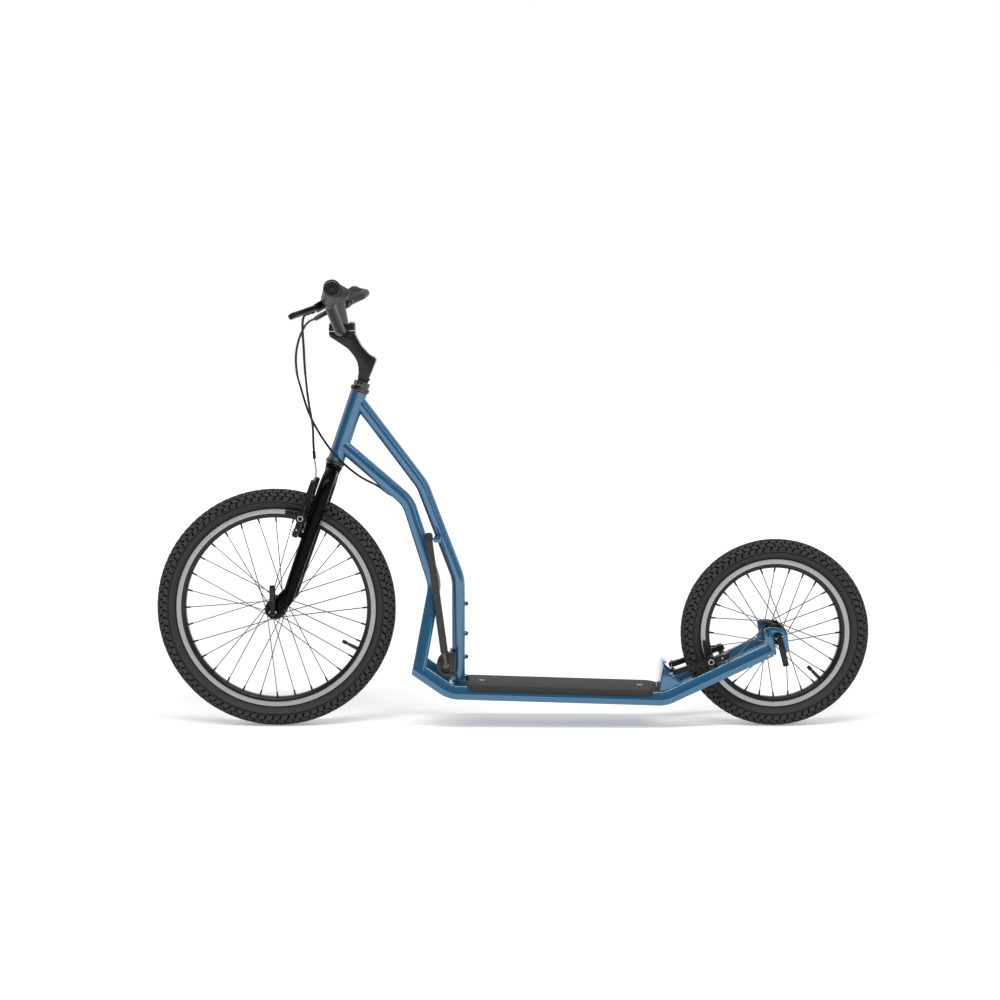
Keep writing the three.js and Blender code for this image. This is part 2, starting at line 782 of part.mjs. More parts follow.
function clampBoltPlaces() {
  const boltX = clampLength / 2 - clampBoltRadius * 5 / 4;
  const boltY = clampWidth / 2 - clampBoltRadius * 5 / 4;
  return [[-boltX, -boltY], [-boltX, boltY], [boltX, -boltY], [boltX, boltY]];
}

function clampHalf(height) {
  return block(clampLength, clampWidth, height, 0, 0, height / 2 + gap);
}

const barBore = (axisLength) => hole('y', barRadius + gap, axisLength, 20);

const boltSeat = () => stemBase + stemRise / 2;

function stemGeometry() {
  const points = neckShares.map(([x, z]) => [x * stemReach, stemBase + z * stemRise]);
  const neck = plate(points, stemWidth);
  const quill = upright(rod('y', quillRadius, quillDepth + quillRadius, 14))
    .translate(0, 0, stemBase - quillDepth / 2 + quillRadius / 2);
  const lower = clampHalf(capHeight * 9 / 10).rotateX(Math.PI).rotateY(clampTurn).translate(clampX, 0, clampZ);
  const above = block(clampLength * 2, clampWidth * 2, capHeight * 3, 0, 0, capHeight * 3 / 2 - gap)
    .rotateY(clampTurn).translate(clampX, 0, clampZ);
  const bore = barBore(clampWidth * 2).translate(clampX, 0, clampZ);
  const boltHole = upright(hole('y', stemBoltRadius + gap, stemRise * 4, 10)).translate(0, 0, stemBase);
  const seat = upright(hole('y', stemBoltRadius * 2, stemRise, 10)).translate(0, 0, boltSeat() + stemRise / 2);
  const slotCut = block(quillRadius * 4, quillRadius * 4, wedgeHeight, 0, 0, 0)
    .rotateY(degrees(headAngle) * 2).translate(0, 0, stemBase - quillDepth - wedgeHeight / 4);
  return cut(join(neck, quill, lower), above, bore, boltHole, seat, slotCut);
}

function stemCapGeometry() {
  const cap = cut(clampHalf(capHeight), barBore(clampWidth * 2));
  const heads = clampBoltPlaces().map(([x, y]) =>
    upright(rod('y', clampBoltRadius, clampBoltHead * 2, 8)).translate(x, y, capHeight + gap));
  return join(cap, ...heads);
}

function wedgeBoltGeometry() {
  const bottom = stemBase - quillDepth - wedgeHeight;
  const top = boltSeat() + gap;
  const shaftLength = top - bottom;
  const shaft = upright(rod('y', stemBoltRadius, shaftLength, 10)).translate(0, 0, bottom + shaftLength / 2);
  const head = upright(rod('y', stemBoltRadius * 5 / 3, stemBoltRadius * 2, 8))
    .translate(0, 0, top + stemBoltRadius);
  const wedge = upright(rod('y', quillRadius - gap, wedgeHeight * 2, 12)).translate(0, 0, bottom);
  const slope = block(quillRadius * 5, quillRadius * 4, wedgeHeight * 2, 0, 0, wedgeHeight)
    .rotateY(degrees(headAngle) * 2).translate(0, 0, bottom + wedgeHeight / 2 - gap);
  return join(shaft, head, cut(wedge, slope));
}

// Handlebar: axes parallel to the bike's, origin in the middle of the clamp
const barFrame = new THREE.Group();
barFrame.position.set(clampX, 0, clampZ);
barFrame.rotation.y = -tilt;
steering.add(barFrame);

function barPath() {
  const flip = ([x, y, z]) => [x, -y, z];
  return bentPath([
    flip(barEnd), flip(barHighElbow), flip(barLowElbow), barLowElbow, barHighElbow, barEnd,
  ], barBend, bendSteps);
}

function handlebarGeometry() {
  const section = tubeSection(
    ovalPoints(barRadius, barRadius, 10), ovalPoints(barRadius - barWall, barRadius - barWall, 6));
  return sweepBent(barPath(), section);
}

// A frame on the outer run of the bar, with Y along the bar and -X down and forward
function barEndFrame(along, drop) {
  const from = new THREE.Vector3(...barHighElbow);
  const to = new THREE.Vector3(...barEnd);
  const axis = to.clone().sub(from).normalize();
  const share = (along - barHighElbow[1]) / (barEnd[1] - barHighElbow[1]);
  const place = from.lerp(to, share);
  const forward = new THREE.Vector3(-Math.cos(degrees(drop)), 0, -Math.sin(degrees(drop)));
  const rear = forward.clone().addScaledVector(axis, -forward.dot(axis)).normalize().negate();
  const up = rear.clone().cross(axis);
  return new THREE.Matrix4().makeBasis(rear, axis, up).setPosition(place);
}

function gripGeometry() {
  const run = new THREE.Vector3(...barEnd).sub(new THREE.Vector3(...barHighElbow));
  const length = (barEnd[1] - gripStart) * run.length() / run.y + gap + gripEnd;
  const middle = length / 2;
  const sleeve = rod('y', gripRadius, length, 14).translate(0, middle, 0);
  const wing = new THREE.Shape([
    new THREE.Vector2(0, 0), new THREE.Vector2(gripRadius, 0),
    new THREE.Vector2(wingReach, length - wingTipWidth), new THREE.Vector2(wingReach, length - gripEnd * 2),
    new THREE.Vector2(wingReach - gripEnd * 2, length), new THREE.Vector2(0, length),
  ]);
  const paddle = new THREE.ExtrudeGeometry(wing, { depth: wingThickness, bevelEnabled: false })
    .translate(0, 0, -wingThickness / 2);
  const bore = hole('y', barRadius + gap, length, 12).translate(0, middle - gripEnd, 0);
  return cut(join(sleeve, paddle), bore);
}

function leverBodyGeometry() {
  const clamp = rod('y', leverClampRadius, leverClampWidth, 14);
  const reach = leverPivotReach + leverPivotRadius * 2;
  const body = block(reach, leverClampWidth * 2, leverBodyHeight, -reach / 2, -leverClampWidth / 2, 0);
  const bore = hole('y', barRadius + gap * 2, leverClampWidth * 5, 14);
  const fork = block(leverPivotRadius * 6, leverClampWidth * 2, bladeThickness + gap * 2,
    -leverPivotReach, leverClampWidth / 4, 0);
  const pin = upright(rod('y', leverPivotRadius, leverBodyHeight, 8)).translate(-leverPivotReach, 0, 0);
  const barrel = rod('x', cableRadius * 2, leverClampWidth, 8)
    .translate(-reach - leverClampWidth / 4, -leverClampWidth, 0);
  return join(cut(join(clamp, body), bore, fork), pin, barrel);
}

function bladeGeometry() {
  const angle = degrees(bladeAngle);
  const half = bladeWidth / 2;
  const hub = leverPivotRadius * 2;
  const outline = [
    [-hub, -hub], [hub, -hub], [hub, 0], [half, bladeLength / 4], [half, bladeLength * 3 / 4],
    [half * 4 / 3, bladeLength - half], [half, bladeLength], [-half / 2, bladeLength],
    [-half, bladeLength - half], [-half, bladeLength / 4], [-hub, hub],
  ].map(([x, y]) => new THREE.Vector2(x, y));
  const flat = { depth: bladeThickness, bevelEnabled: false };
  const blade = new THREE.ExtrudeGeometry(new THREE.Shape(outline), flat).translate(0, 0, -bladeThickness / 2);
  const bore = upright(hole('y', leverPivotRadius + gap, bladeThickness * 2, 8));
  return cut(blade, bore).rotateZ(angle);
}

function addBarEnds() {
  const grip = (wingDrop) => gripGeometry().applyMatrix4(barEndFrame(gripStart, -wingDrop));
  addPiece('grip_right', grip(rightWingDrop), rubber, barFrame);
  addPiece('grip_left', mirrored(grip(leftWingDrop)), rubber, barFrame);
  const leverPlace = barEndFrame(leverClampAt, leverDrop);
  const body = leverBodyGeometry().applyMatrix4(leverPlace);
  const blade = bladeGeometry().translate(-leverPivotReach, 0, 0).applyMatrix4(leverPlace);
  for (const [name, geometry] of [['body', body], ['blade', blade]]) {
    addPiece(`brake_lever_${name}_right`, geometry, blackSatin, barFrame);
    addPiece(`brake_lever_${name}_left`, mirrored(geometry), blackSatin, barFrame);
  }
}

// V-brake: Z runs from the pivots to the arms' free ends, -X away from the fork or rail
function brakeArmGeometry() {
  const low = bossSpacing / 2;
  const high = armTopSpacing / 2;
  const r = armPivotRadius;
  const half = armTopWidth / 2;
  const outline = [
    [low - r, -r / 2], [low - r / 2, -r], [low + r / 2, -r], [low + r, -r / 2], [low + r, r / 2],
    [low + half, padRise], [high + half, armLength - half], [high + half / 2, armLength],
    [high - half / 2, armLength], [high - half, armLength - half], [low - half * 2, padRise], [low - r, r],
  ];
  const shape = new THREE.Shape(outline.map(([y, z]) => new THREE.Vector2(y, z)));
  const body = new THREE.ExtrudeGeometry(shape, { depth: armThickness, bevelEnabled: false });
  const turn = new THREE.Matrix4().makeBasis(
    new THREE.Vector3(0, 1, 0), new THREE.Vector3(0, 0, 1), new THREE.Vector3(1, 0, 0));
  body.applyMatrix4(turn).translate(-armThickness, 0, 0);
  const bore = hole('x', studRadius + gap, armThickness * 3, 10).translate(0, low, 0);
  const postHole = hole('y', padPostRadius + gap, armThickness * 3, 8)
    .translate(-armThickness / 2, low, padRise);
  return cut(body, bore, postHole);
}

function brakePadGeometry() {
  const inner = rimWidth / 2 + padRimGap;
  const armIn = bossSpacing / 2 - armTopWidth;
  const armOut = bossSpacing / 2 + armTopWidth / 2;
  const shoe = block(padLength, padThickness, padHeight, -padOffset, inner + padThickness / 2, 0);
  const postLength = armOut + padNutLength - inner - padThickness / 2;
  const post = rod('y', padPostRadius, postLength, 8).translate(0, armOut + padNutLength - postLength / 2, 0);
  const washerLength = armIn - gap * 3 - inner - padThickness;
  const washers = rod('y', padWasherRadius, washerLength + overrun, 10)
    .translate(0, inner + padThickness + washerLength / 2 - overrun / 2, 0);
  const nut = rod('y', padNutRadius, padNutLength, 6).translate(0, armOut + gap * 3 + padNutLength / 2, 0);
  return join(shoe, post, washers, nut).translate(-armThickness / 2, 0, padRise);
}

function addBrake(end, frame, [side, otherSide]) {
  const pieces = [['brake_arm', brakeArmGeometry(), blackSatin], ['brake_pad', brakePadGeometry(), rubber]];
  for (const [name, geometry, material] of pieces) {
    addPiece(`${end}_${name}_${side}`, geometry, material, frame);
    addPiece(`${end}_${name}_${otherSide}`, mirrored(geometry), material, frame);
  }
}

// The rear arms lie over the rails and point forward and down, so their own Y points to the left
function rearBossMatrix() {
  const forward = new THREE.Vector3(-Math.cos(degrees(rearArmAngle)), 0, -Math.sin(degrees(rearArmAngle)));
  const left = new THREE.Vector3(0, -1, 0);
  const place = new THREE.Vector3(...railPath[2]).lerp(new THREE.Vector3(...railPath[3]), rearBossShare);
  return new THREE.Matrix4().makeBasis(left.clone().cross(forward), left, forward).setPosition(place.setY(0));
}

function addFrontEnd() {
  addPiece('head_tube', headTubeGeometry(), blueFrame, steering);
  addPiece('headset_upper_cup', cupGeometry().translate(0, 0, headTubeTop + cupHeight), gunmetal, steering);
  addPiece('headset_lower_cup', cupGeometry().rotateX(Math.PI).translate(0, 0, headTubeBase - cupHeight),
    gunmetal, steering);
  const raceOut = cupInsert + gap + bearingLength / 2;
  addPiece('headset_upper_bearing', ballRaceGeometry(), steel, steering).position.z = headTubeTop - raceOut;
  addPiece('headset_lower_bearing', ballRaceGeometry(), steel, steering).position.z = headTubeBase + raceOut;
  addPiece('headset_locknut', locknutGeometry(), gunmetal, steering)
    .position.z = locknutBase + locknutHeight / 2;
  addPiece('fork', forkGeometry(), blackGloss, steering);
  addPiece('stem', stemGeometry(), blackSatin, steering);
  const cap = addPiece('stem_clamp_cap', stemCapGeometry(), blackSatin, steering);
  cap.position.set(clampX, 0, clampZ);
  cap.rotation.y = clampTurn;
  addPiece('stem_wedge_bolt', wedgeBoltGeometry(), steel, steering);
  addPiece('handlebar', handlebarGeometry(), greyCast, barFrame);
  addBarEnds();
  frontBrake.position.set(-bossReach - gap, 0, frontBossHeight);
  steering.add(frontBrake);
  addBrake('front', frontBrake, ['right', 'left']);
}

// Frame: head tube, tubes and rails are welded, each kept a hair away from its neighbour
const steeringMatrix = () => {
  steering.updateMatrix();
  return steering.matrix;
};

function headTubeClearance() {
  return upright(hole('y', headTubeRadius + gap, headTubeLength * 2, 20))
    .translate(0, 0, (headTubeBase + headTubeTop) / 2).applyMatrix4(steeringMatrix());
}

function railSection(grow, wall) {
  const half = (width) => width / 2 + grow - wall;
  const top = railHeight / 2 + grow - wall;
  const crease = railHeight * (railCreaseShare - 1 / 2);
  return [
    [half(railBottomWidth), -top], [half(railCreaseWidth), crease], [half(railTopWidth), top],
    [-half(railTopWidth), top], [-half(railCreaseWidth), crease], [-half(railBottomWidth), -top],
  ].map(([across, high]) => new THREE.Vector2(across, -high));
}

function railSweep(grow, hollow) {
  const inner = hollow ? railSection(0, railWall) : null;
  return sweepBent(bentPath(railPath, railBend, bendSteps), tubeSection(railSection(grow, 0), inner));
}

function downTubeSweep(grow, hollow) {
  const half = [downTubeDepth / 2, downTubeWidth / 2];
  const outer = ovalPoints(half[1] + grow, half[0] + grow, 10);
  const inner = hollow ? ovalPoints(half[1] - downTubeWall, half[0] - downTubeWall, 6) : null;
  return sweepBent(bentPath(downTubePath, downTubeBend, bendSteps), tubeSection(outer, inner));
}

// What lies in front of the down tubes' front face, where the rails are cut flush
function frontTrim() {
  const [knee, foot] = downTubePath.slice(-2);
  const lean = Math.atan2(knee[0] - foot[0], knee[2] - foot[2]);
  const size = railHeight * 4;
  return block(size, railSpacing * 2, size, -(size + downTubeDepth) / 2, 0, 0)
    .rotateY(lean).translate(foot[0], 0, foot[2]);
}

function topTubeSweep(hollow) {
  const inner = hollow ? ovalPoints(topTubeRadius - topTubeWall, topTubeRadius - topTubeWall, 6) : null;
  const outer = ovalPoints(topTubeRadius, topTubeRadius, 10);
  return sweepBent(bentPath(topTubePath, topTubeBend, bendSteps), tubeSection(outer, inner));
}

// The deck slopes with the straight middle run of the rails
const deckSlope = Math.atan2(railPath[1][2] - railPath[2][2], railPath[2][0] - railPath[1][0]);
const deckFrame = new THREE.Group();
deckFrame.position.set(railPath[1][0], 0, railPath[1][2]);
deckFrame.rotation.y = deckSlope;
bike.add(deckFrame);
const deckStart = deckFrontX - railPath[1][0];
const deckMiddle = deckStart + deckLength / 2;
const deckPlateTop = railHeight / 2 - gap;

// Half the rail's width at a height over its middle, above the crease
function railHalfAt(height) {
  const crease = railHeight * (railCreaseShare - 1 / 2);
  const rise = (height - crease) / (railHeight / 2 - crease);
  return (railCreaseWidth + (railTopWidth - railCreaseWidth) * rise) / 2;
}

function deckPlateGeometry() {
  const low = deckPlateTop - deckPlateThickness;
  const wide = railSpacing / 2 - railHalfAt(low) - gap * 2;
  const narrow = railSpacing / 2 - railCreaseWidth / 2 - gap * 2;
  const front = deckStart - deckPlateLead;
  const shoulder = deckStart + matCorner;
  const end = deckStart + deckLength;
  const plan = new THREE.Shape([
    [front, -narrow], [shoulder, -narrow], [shoulder + matCorner / 4, -wide], [end, -wide],
    [end, wide], [shoulder + matCorner / 4, wide], [shoulder, narrow], [front, narrow],
  ].map(([x, y]) => new THREE.Vector2(x, y)));
  const plateBlock = new THREE.ExtrudeGeometry(plan, { depth: deckPlateThickness, bevelEnabled: false })
    .translate(0, 0, low);
  const holes = deckScrewPlaces().map((x) =>
    upright(hole('y', deckScrewRadius / 2 + gap, deckScrewLength * 4, 10)).translate(x, 0, 0));
  return cut(plateBlock, ...holes);
}

const deckScrewPlaces = () => [deckStart + deckScrewInset, deckStart + deckLength - deckScrewInset * 2 / 3];

function deckMatGeometry() {
  const under = railHeight / 2 + gap;
  const top = under + matThickness;
  const wall = matThickness;
  const half = (railSpacing + railTopWidth + wall) / 2 + gap * 2;
  const skirt = railSpacing / 2 + railHalfAt(top - matSkirtDrop) + wall + gap * 3;
  const outline = [
    [-skirt, top - matSkirtDrop], [-half, top], [half, top], [skirt, top - matSkirtDrop],
    [skirt - wall, top - matSkirtDrop], [half - wall / 2, under], [-half + wall / 2, under],
    [-skirt + wall, top - matSkirtDrop],
  ];
  const long = plate(outline, deckLength).rotateZ(Math.PI / 2).translate(deckMiddle, 0, 0);
  const a = deckStart;
  const b = deckStart + deckLength;
  const plan = new THREE.Shape([
    [a, -skirt + matCorner], [a + matCorner * 5 / 4, -skirt], [b - matCorner * 3 / 4, -skirt],
    [b, -skirt + matCorner / 2], [b, skirt - matCorner / 2], [b - matCorner * 3 / 4, skirt],
    [a + matCorner * 5 / 4, skirt], [a, skirt - matCorner],
  ].map(([x, y]) => new THREE.Vector2(x, y)));
  const prism = new THREE.ExtrudeGeometry(plan, { depth: railHeight * 2, bevelEnabled: false });
  const holes = deckScrewPlaces().map((x) =>
    upright(hole('y', deckScrewRadius + gap * 2, deckScrewLength * 4, 10)).translate(x, 0, 0));
  const notchX = topTubePath[3][0] - railPath[1][0];
  const notchHalf = topTubeRadius + gap * 5;
  const reach = screwBossReach + screwHeadReach;
  const notch = upright(hole('y', notchHalf, railHeight * 4, 16)).translate(notchX + reach, 0, 0);
  const mouth = block(
    notchHalf * 2 + reach, notchHalf * 2, railHeight * 4, notchX - notchHalf + reach / 2, 0, 0);
  return cut(common(long, prism), ...holes, notch, mouth);
}

function deckScrewGeometry() {
  const seat = deckPlateTop + gap;
  const head = upright(rod('y', deckScrewRadius, deckScrewHead, 8)).translate(0, 0, seat + deckScrewHead / 2);
  const shaft = upright(rod('y', deckScrewRadius / 2, deckScrewLength, 6))
    .translate(0, 0, seat + deckScrewHead - deckScrewLength / 2);
  return join(head, shaft);
}

// Both rails a gap larger, in the deck's own frame
function railClearances() {
  deckFrame.updateMatrix();
  const rail = railSweep(gap, false);
  return [rail, mirrored(rail)].map((side) => side.applyMatrix4(deckFrame.matrix.clone().invert()));
}

function heelBracketGeometry() {
  const foot = railHeight / 2 + gap;
  const x = deckStart + deckLength + heelGap;
  const sheet = heelSheet;
  const bent = plate([
    [x, foot], [x + sheet, foot], [x + sheet + heelLean, foot + heelHeight - sheet],
    [x + heelLean + heelTab, foot + heelHeight - sheet], [x + heelLean + heelTab, foot + heelHeight],
    [x + heelLean, foot + heelHeight],
  ], railSpacing);
  const half = railSpacing / 2;
  const narrow = heelTopWidth / 2;
  const front = plate([
    [-half, foot - overrun], [half, foot - overrun], [half, foot + heelShoulder],
    [narrow, foot + heelHeight + overrun], [-narrow, foot + heelHeight + overrun],
    [-half, foot + heelShoulder],
  ], heelHeight * 2).rotateZ(Math.PI / 2).translate(x, 0, 0);
  const shoulderX = x + heelLean * heelShoulder / heelHeight;
  const side = plate([
    [x, foot], [x + gussetLength, foot], [x + gussetLength, foot + gussetToe],
    [x + gussetWaist[0], foot + gussetWaist[1]], [shoulderX + sheet, foot + heelShoulder],
    [shoulderX, foot + heelShoulder],
  ], sheet).translate(0, half - sheet / 2, 0);
  return cut(join(common(bent, front), side, mirrored(side)), ...railClearances());
}

function dropoutGeometry() {
  const outline = dropoutShares.map(([x, z]) => [x * dropoutDrop, z * dropoutDrop]);
  const slot = dropoutSlot;
  const mouth = block(dropoutDrop / 3, dropoutThickness * 3, slot, dropoutDrop / 6, 0, 0)
    .rotateY(degrees(dropoutSlotAngle));
  const eye = hole('y', slot / 2, dropoutThickness * 3, 12);
  return cut(plate(outline, dropoutThickness), eye, mouth);
}

function addFrame() {
  const head = headTubeClearance();
  const boss = mirrored(brakeBoss().translate(0, bossSpacing / 2, 0)).applyMatrix4(rearBossMatrix());
  const rail = join(cut(railSweep(0, true), frontTrim()), boss);
  const downTube = cut(downTubeSweep(0, true), head, railSweep(gap, false));
  const dropout = cut(
    dropoutGeometry().translate(rearAxleX, axleWidth / 2 + dropoutThickness / 2, rearWheelRadius),
    railSweep(gap, false));
  for (const [name, geometry] of [['side_rail', rail], ['down_tube', downTube], ['dropout', dropout]]) {
    addPiece(`${name}_right`, geometry, blueFrame);
    addPiece(`${name}_left`, mirrored(geometry), blueFrame);
  }
  addPiece('top_tube', topTubeGeometry(head), blueFrame);
  addPiece('deck_plate', deckPlateGeometry(), blueFrame, deckFrame);
  addPiece('deck_mat', deckMatGeometry(), matPlastic, deckFrame);
  ['front', 'rear'].forEach((end, i) => {
    addPiece(`deck_screw_${end}`, deckScrewGeometry(), steel, deckFrame).position.x = deckScrewPlaces()[i];
  });
  addPiece('heel_bracket', heelBracketGeometry(), blueFrame, deckFrame);
  new THREE.Matrix4().multiplyMatrices(
    rearBossMatrix(), new THREE.Matrix4().makeTranslation(-bossReach - gap, 0, 0))
    .decompose(rearBrake.position, rearBrake.quaternion, rearBrake.scale);
  bike.add(rearBrake);
  addBrake('rear', rearBrake, ['left', 'right']);
}

function topTubeGeometry(head) {
  const tube = topTubeSweep(true);
  const x = topTubePath[3][0] + topTubeRadius;
  const reach = screwBossReach + screwHeadReach;
  const bosses = screwBossHeights.map((z) => join(
    rod('x', screwBossRadius, screwBossReach * 2, 6).translate(x, 0, z),
    rod('x', screwHeadRadius, reach, 6).translate(x + reach / 2, 0, z)));
  const holder = block(...holderSize, ...holderPlace);
  return join(cut(tube, head), ...bosses, holder);
}

// Side stand: the leg turns about X in a slot of its round casting
function standLegGeometry() {
  const from = new THREE.Vector3(...standPivot);
  const to = new THREE.Vector3(...standTop);
  const along = to.clone().sub(from).normalize();
  const at = (distance) => from.clone().addScaledVector(along, distance).toArray();
  const total = from.distanceTo(to);
  const eye = rod('x', standTipRadius, standTipRadius * 2, 10).translate(...standPivot);
  const tip = rodBetween(standPivot, at(standTipLength + overrun), standTipRadius, 10);
  const leg = rodBetween(at(standTipLength), at(total), standLegRadius, 10);
  const bore = hole('x', standPinRadius + gap, standTipRadius * 6, 10).translate(...standPivot);
  return cut(join(eye, tip, leg), bore);
}

function standFootGeometry() {
  const from = new THREE.Vector3(...standPivot);
  const to = new THREE.Vector3(...standTop);
  const along = to.clone().sub(from).normalize();
  const at = (distance) => to.clone().addScaledVector(along, distance).toArray();
  const cap = rodBetween(at(-standFootLength), at(gap + overrun * 3), standFootRadius, 10);
  const socket = rodBetween(at(-standFootLength - overrun), at(gap), standLegRadius + gap, 10);
  return cut(cap, socket);
}

function standBracketGeometry() {
  const [cx, cz] = standCaseCentre;
  const flat = topTubePath[3][0] - topTubeRadius - gap;
  const disc = rod('y', standCaseRadius, standCaseWidth, 18).translate(cx, standPivot[1], cz);
  const straight = block(standCaseRadius * 3, standCaseWidth * 2, standCaseRadius * 4,
    flat - standPlateThickness + standCaseRadius * 3 / 2, standPivot[1], cz);
  const lean = Math.atan2(standTop[0] - standPivot[0], standTop[2] - standPivot[2]);
  const slotLength = standCaseRadius * 3;
  const slotDeep = standLegRadius + gap * 3;
  const slot = block(standSlotWidth, standCaseWidth, slotLength, 0, slotDeep - standCaseWidth / 2,
    slotLength / 2 - standSlotBelow).rotateY(lean).translate(...standPivot);
  const pin = rod('x', standPinRadius, standSlotWidth + overrun * 4, 10).translate(...standPivot);
  const plateTop = cz + standPlateHeight / 2;
  const plateBottom = cz - standPlateHeight / 2;
  const width = topTubeRadius - (standPivot[1] - standCaseWidth / 2);
  const back = block(standPlateThickness, width, plateTop - plateBottom,
    flat - standPlateThickness / 2, topTubeRadius - width / 2, (plateTop + plateBottom) / 2);
  return join(cut(disc, straight, slot), pin, back);
}

function addStand() {
  addPiece('stand_bracket', standBracketGeometry(), greyCast);
  addPiece('stand_leg', standLegGeometry(), greyCast);
  addPiece('stand_foot', standFootGeometry(), rubber);
}

// Brake cables run from the barrel of a lever body to the end of a left brake arm
function barrelPoint(side, distance) {
  barFrame.updateWorldMatrix(true, false);
  const reach = leverPivotReach + leverPivotRadius * 2 + leverClampWidth * 3 / 4 + gap;
  const point = new THREE.Vector3(-reach - distance, -leverClampWidth, 0)
    .applyMatrix4(barEndFrame(leverClampAt, leverDrop));
  return point.setY(point.y * side).applyMatrix4(barFrame.matrixWorld);
}

function armEndPoint(arm, side, distance) {
  arm.updateWorldMatrix(true, false);
  return new THREE.Vector3(-armThickness / 2, side * armTopSpacing / 2, armLength + gap + distance)
    .applyMatrix4(arm.matrixWorld);
}

function cableGeometry(lever, route, arm, armSide) {
  const path = new THREE.CatmullRomCurve3([
    barrelPoint(lever, 0), barrelPoint(lever, cableLead),
    ...route.map((point) => new THREE.Vector3(...point)),
    armEndPoint(arm, armSide, cableLead / 2), armEndPoint(arm, armSide, 0),
  ], false, 'centripetal');
  const steps = Math.round(path.getLength() / cableStep);
  return sweep(path, tubeSection(ovalPoints(cableRadius, cableRadius, cableSides)), steps);
}

addWheel('front', frontWheelRadius, frontTyreWidth, frontSpokes, frontValveAngle,
  frontLeverLength, 0, frontAxleX, forkTabThickness);
addWheel('rear', rearWheelRadius, rearTyreWidth, rearSpokes, rearValveAngle,
  rearLeverLength, Math.PI - degrees(rearLeverTurn), rearAxleX, dropoutThickness);
addFrontEnd();
addFrame();
addStand();
addPiece('front_brake_cable', cableGeometry(-1, frontCableRoute, frontBrake, -1), blackSatin);
addPiece('rear_brake_cable', cableGeometry(1, rearCableRoute, rearBrake, 1), blackSatin);

export default bike;
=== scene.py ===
import math
import random
import bmesh
import bpy
from mathutils import Matrix, Vector


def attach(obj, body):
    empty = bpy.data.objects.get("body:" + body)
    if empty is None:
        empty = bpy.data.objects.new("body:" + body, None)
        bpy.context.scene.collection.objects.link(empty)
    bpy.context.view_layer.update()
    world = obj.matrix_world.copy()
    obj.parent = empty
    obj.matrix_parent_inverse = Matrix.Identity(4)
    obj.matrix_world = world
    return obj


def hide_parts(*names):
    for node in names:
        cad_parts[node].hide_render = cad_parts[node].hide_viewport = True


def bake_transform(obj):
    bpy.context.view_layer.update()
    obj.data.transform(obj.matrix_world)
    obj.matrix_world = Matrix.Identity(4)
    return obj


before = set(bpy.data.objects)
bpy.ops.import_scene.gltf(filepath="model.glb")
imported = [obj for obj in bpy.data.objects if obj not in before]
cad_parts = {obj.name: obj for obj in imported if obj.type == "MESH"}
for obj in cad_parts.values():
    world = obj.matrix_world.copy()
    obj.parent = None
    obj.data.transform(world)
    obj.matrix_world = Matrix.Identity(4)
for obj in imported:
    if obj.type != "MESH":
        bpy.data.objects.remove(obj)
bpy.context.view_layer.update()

MM = 0.001
scene = bpy.context.scene


# Places and turns
def moved(x, y, z):
    return Matrix.Translation((x, y, z))


def turned(degrees, axis):
    return Matrix.Rotation(math.radians(degrees), 4, axis)


# Sizes of the bike in millimetres, as in the solids
WHEELBASE = 1058
FRONT_R, REAR_R = 253, 199.5
FRONT_X = (FRONT_R - REAR_R - WHEELBASE) / 2
REAR_X = FRONT_X + WHEELBASE
HEAD_ANGLE = 19.1
HEAD_BASE, HEAD_TOP = 339.4, 490.8
FORK_OFFSET = 18.7
FORK_Y = 52
FORK_RADIUS = 14.4
AXLE_RISE = 34
FRONT_BOSS_RISE = 170.7
BOSS_Y = 52
STEM_BASE = 521
STEM_REACH, STEM_RISE = 74, 78.6
CLAMP_LEAN = 21
RAIL_Y = 56
DECK_FRONT, DECK_REAR = (-132.6, 80.75), (319.2, 66.95)
RAIL_FOOT, RAIL_TIP = (-226, 145.2), (540.6, 171.135)
REAR_BOSS_SHARE, REAR_BOSS_LEAN = 0.61422, 18.8
UPRIGHT_X = -116
STEERER_RADIUS = 12.6

# Frames of reference: STEER has the steering axis as Z, DECK the deck's slope as X,
# CLAMP the stem's clamp, BAR the bar's middle
LEAN = math.radians(HEAD_ANGLE)
STEER = moved(FRONT_X + FORK_OFFSET * math.cos(LEAN), 0, FRONT_R - FORK_OFFSET * math.sin(LEAN)) \
    @ turned(HEAD_ANGLE, "Y")
STEER_AXIS = STEER @ turned(90, "X")
RAIL_PATH = [Vector((x, RAIL_Y, z)) for x, z in (RAIL_FOOT, DECK_FRONT, DECK_REAR, RAIL_TIP)]
DECK_SLOPE = math.atan2(DECK_FRONT[1] - DECK_REAR[1], DECK_REAR[0] - DECK_FRONT[0])
DECK = moved(DECK_FRONT[0], 0, DECK_FRONT[1]) @ Matrix.Rotation(DECK_SLOPE, 4, "Y")
CLAMP = STEER @ moved(-STEM_REACH, 0, STEM_BASE + STEM_RISE) @ turned(-CLAMP_LEAN, "Y")
BAR = Matrix.Translation(CLAMP.to_translation())

# A swap lays a plate's thickness along X or Z, and FLIP mirrors the right side to the left
SWAP_XY = Matrix(((0, 1, 0, 0), (1, 0, 0, 0), (0, 0, 1, 0), (0, 0, 0, 1)))
SWAP_YZ = Matrix(((1, 0, 0, 0), (0, 0, 1, 0), (0, 1, 0, 0), (0, 0, 0, 1)))
HERE = Matrix.Identity(4)
FLIP = Matrix.Scale(-1, 4, (0, 1, 0))
SIDES = (("right", HERE), ("left", FLIP))

# Camera, fitted to the photograph
camera = bpy.data.objects.new("camera", bpy.data.cameras.new("camera"))
scene.collection.objects.link(camera)
camera.location = (-0.02785, -3.9375, 0.845)
camera.rotation_euler = (math.radians(90 - 5.27), 0, 0)
camera.data.sensor_width = 36
camera.data.lens = 67.33
camera.data.clip_end = 100
scene.camera = camera
scene.view_settings.view_transform = "Standard"


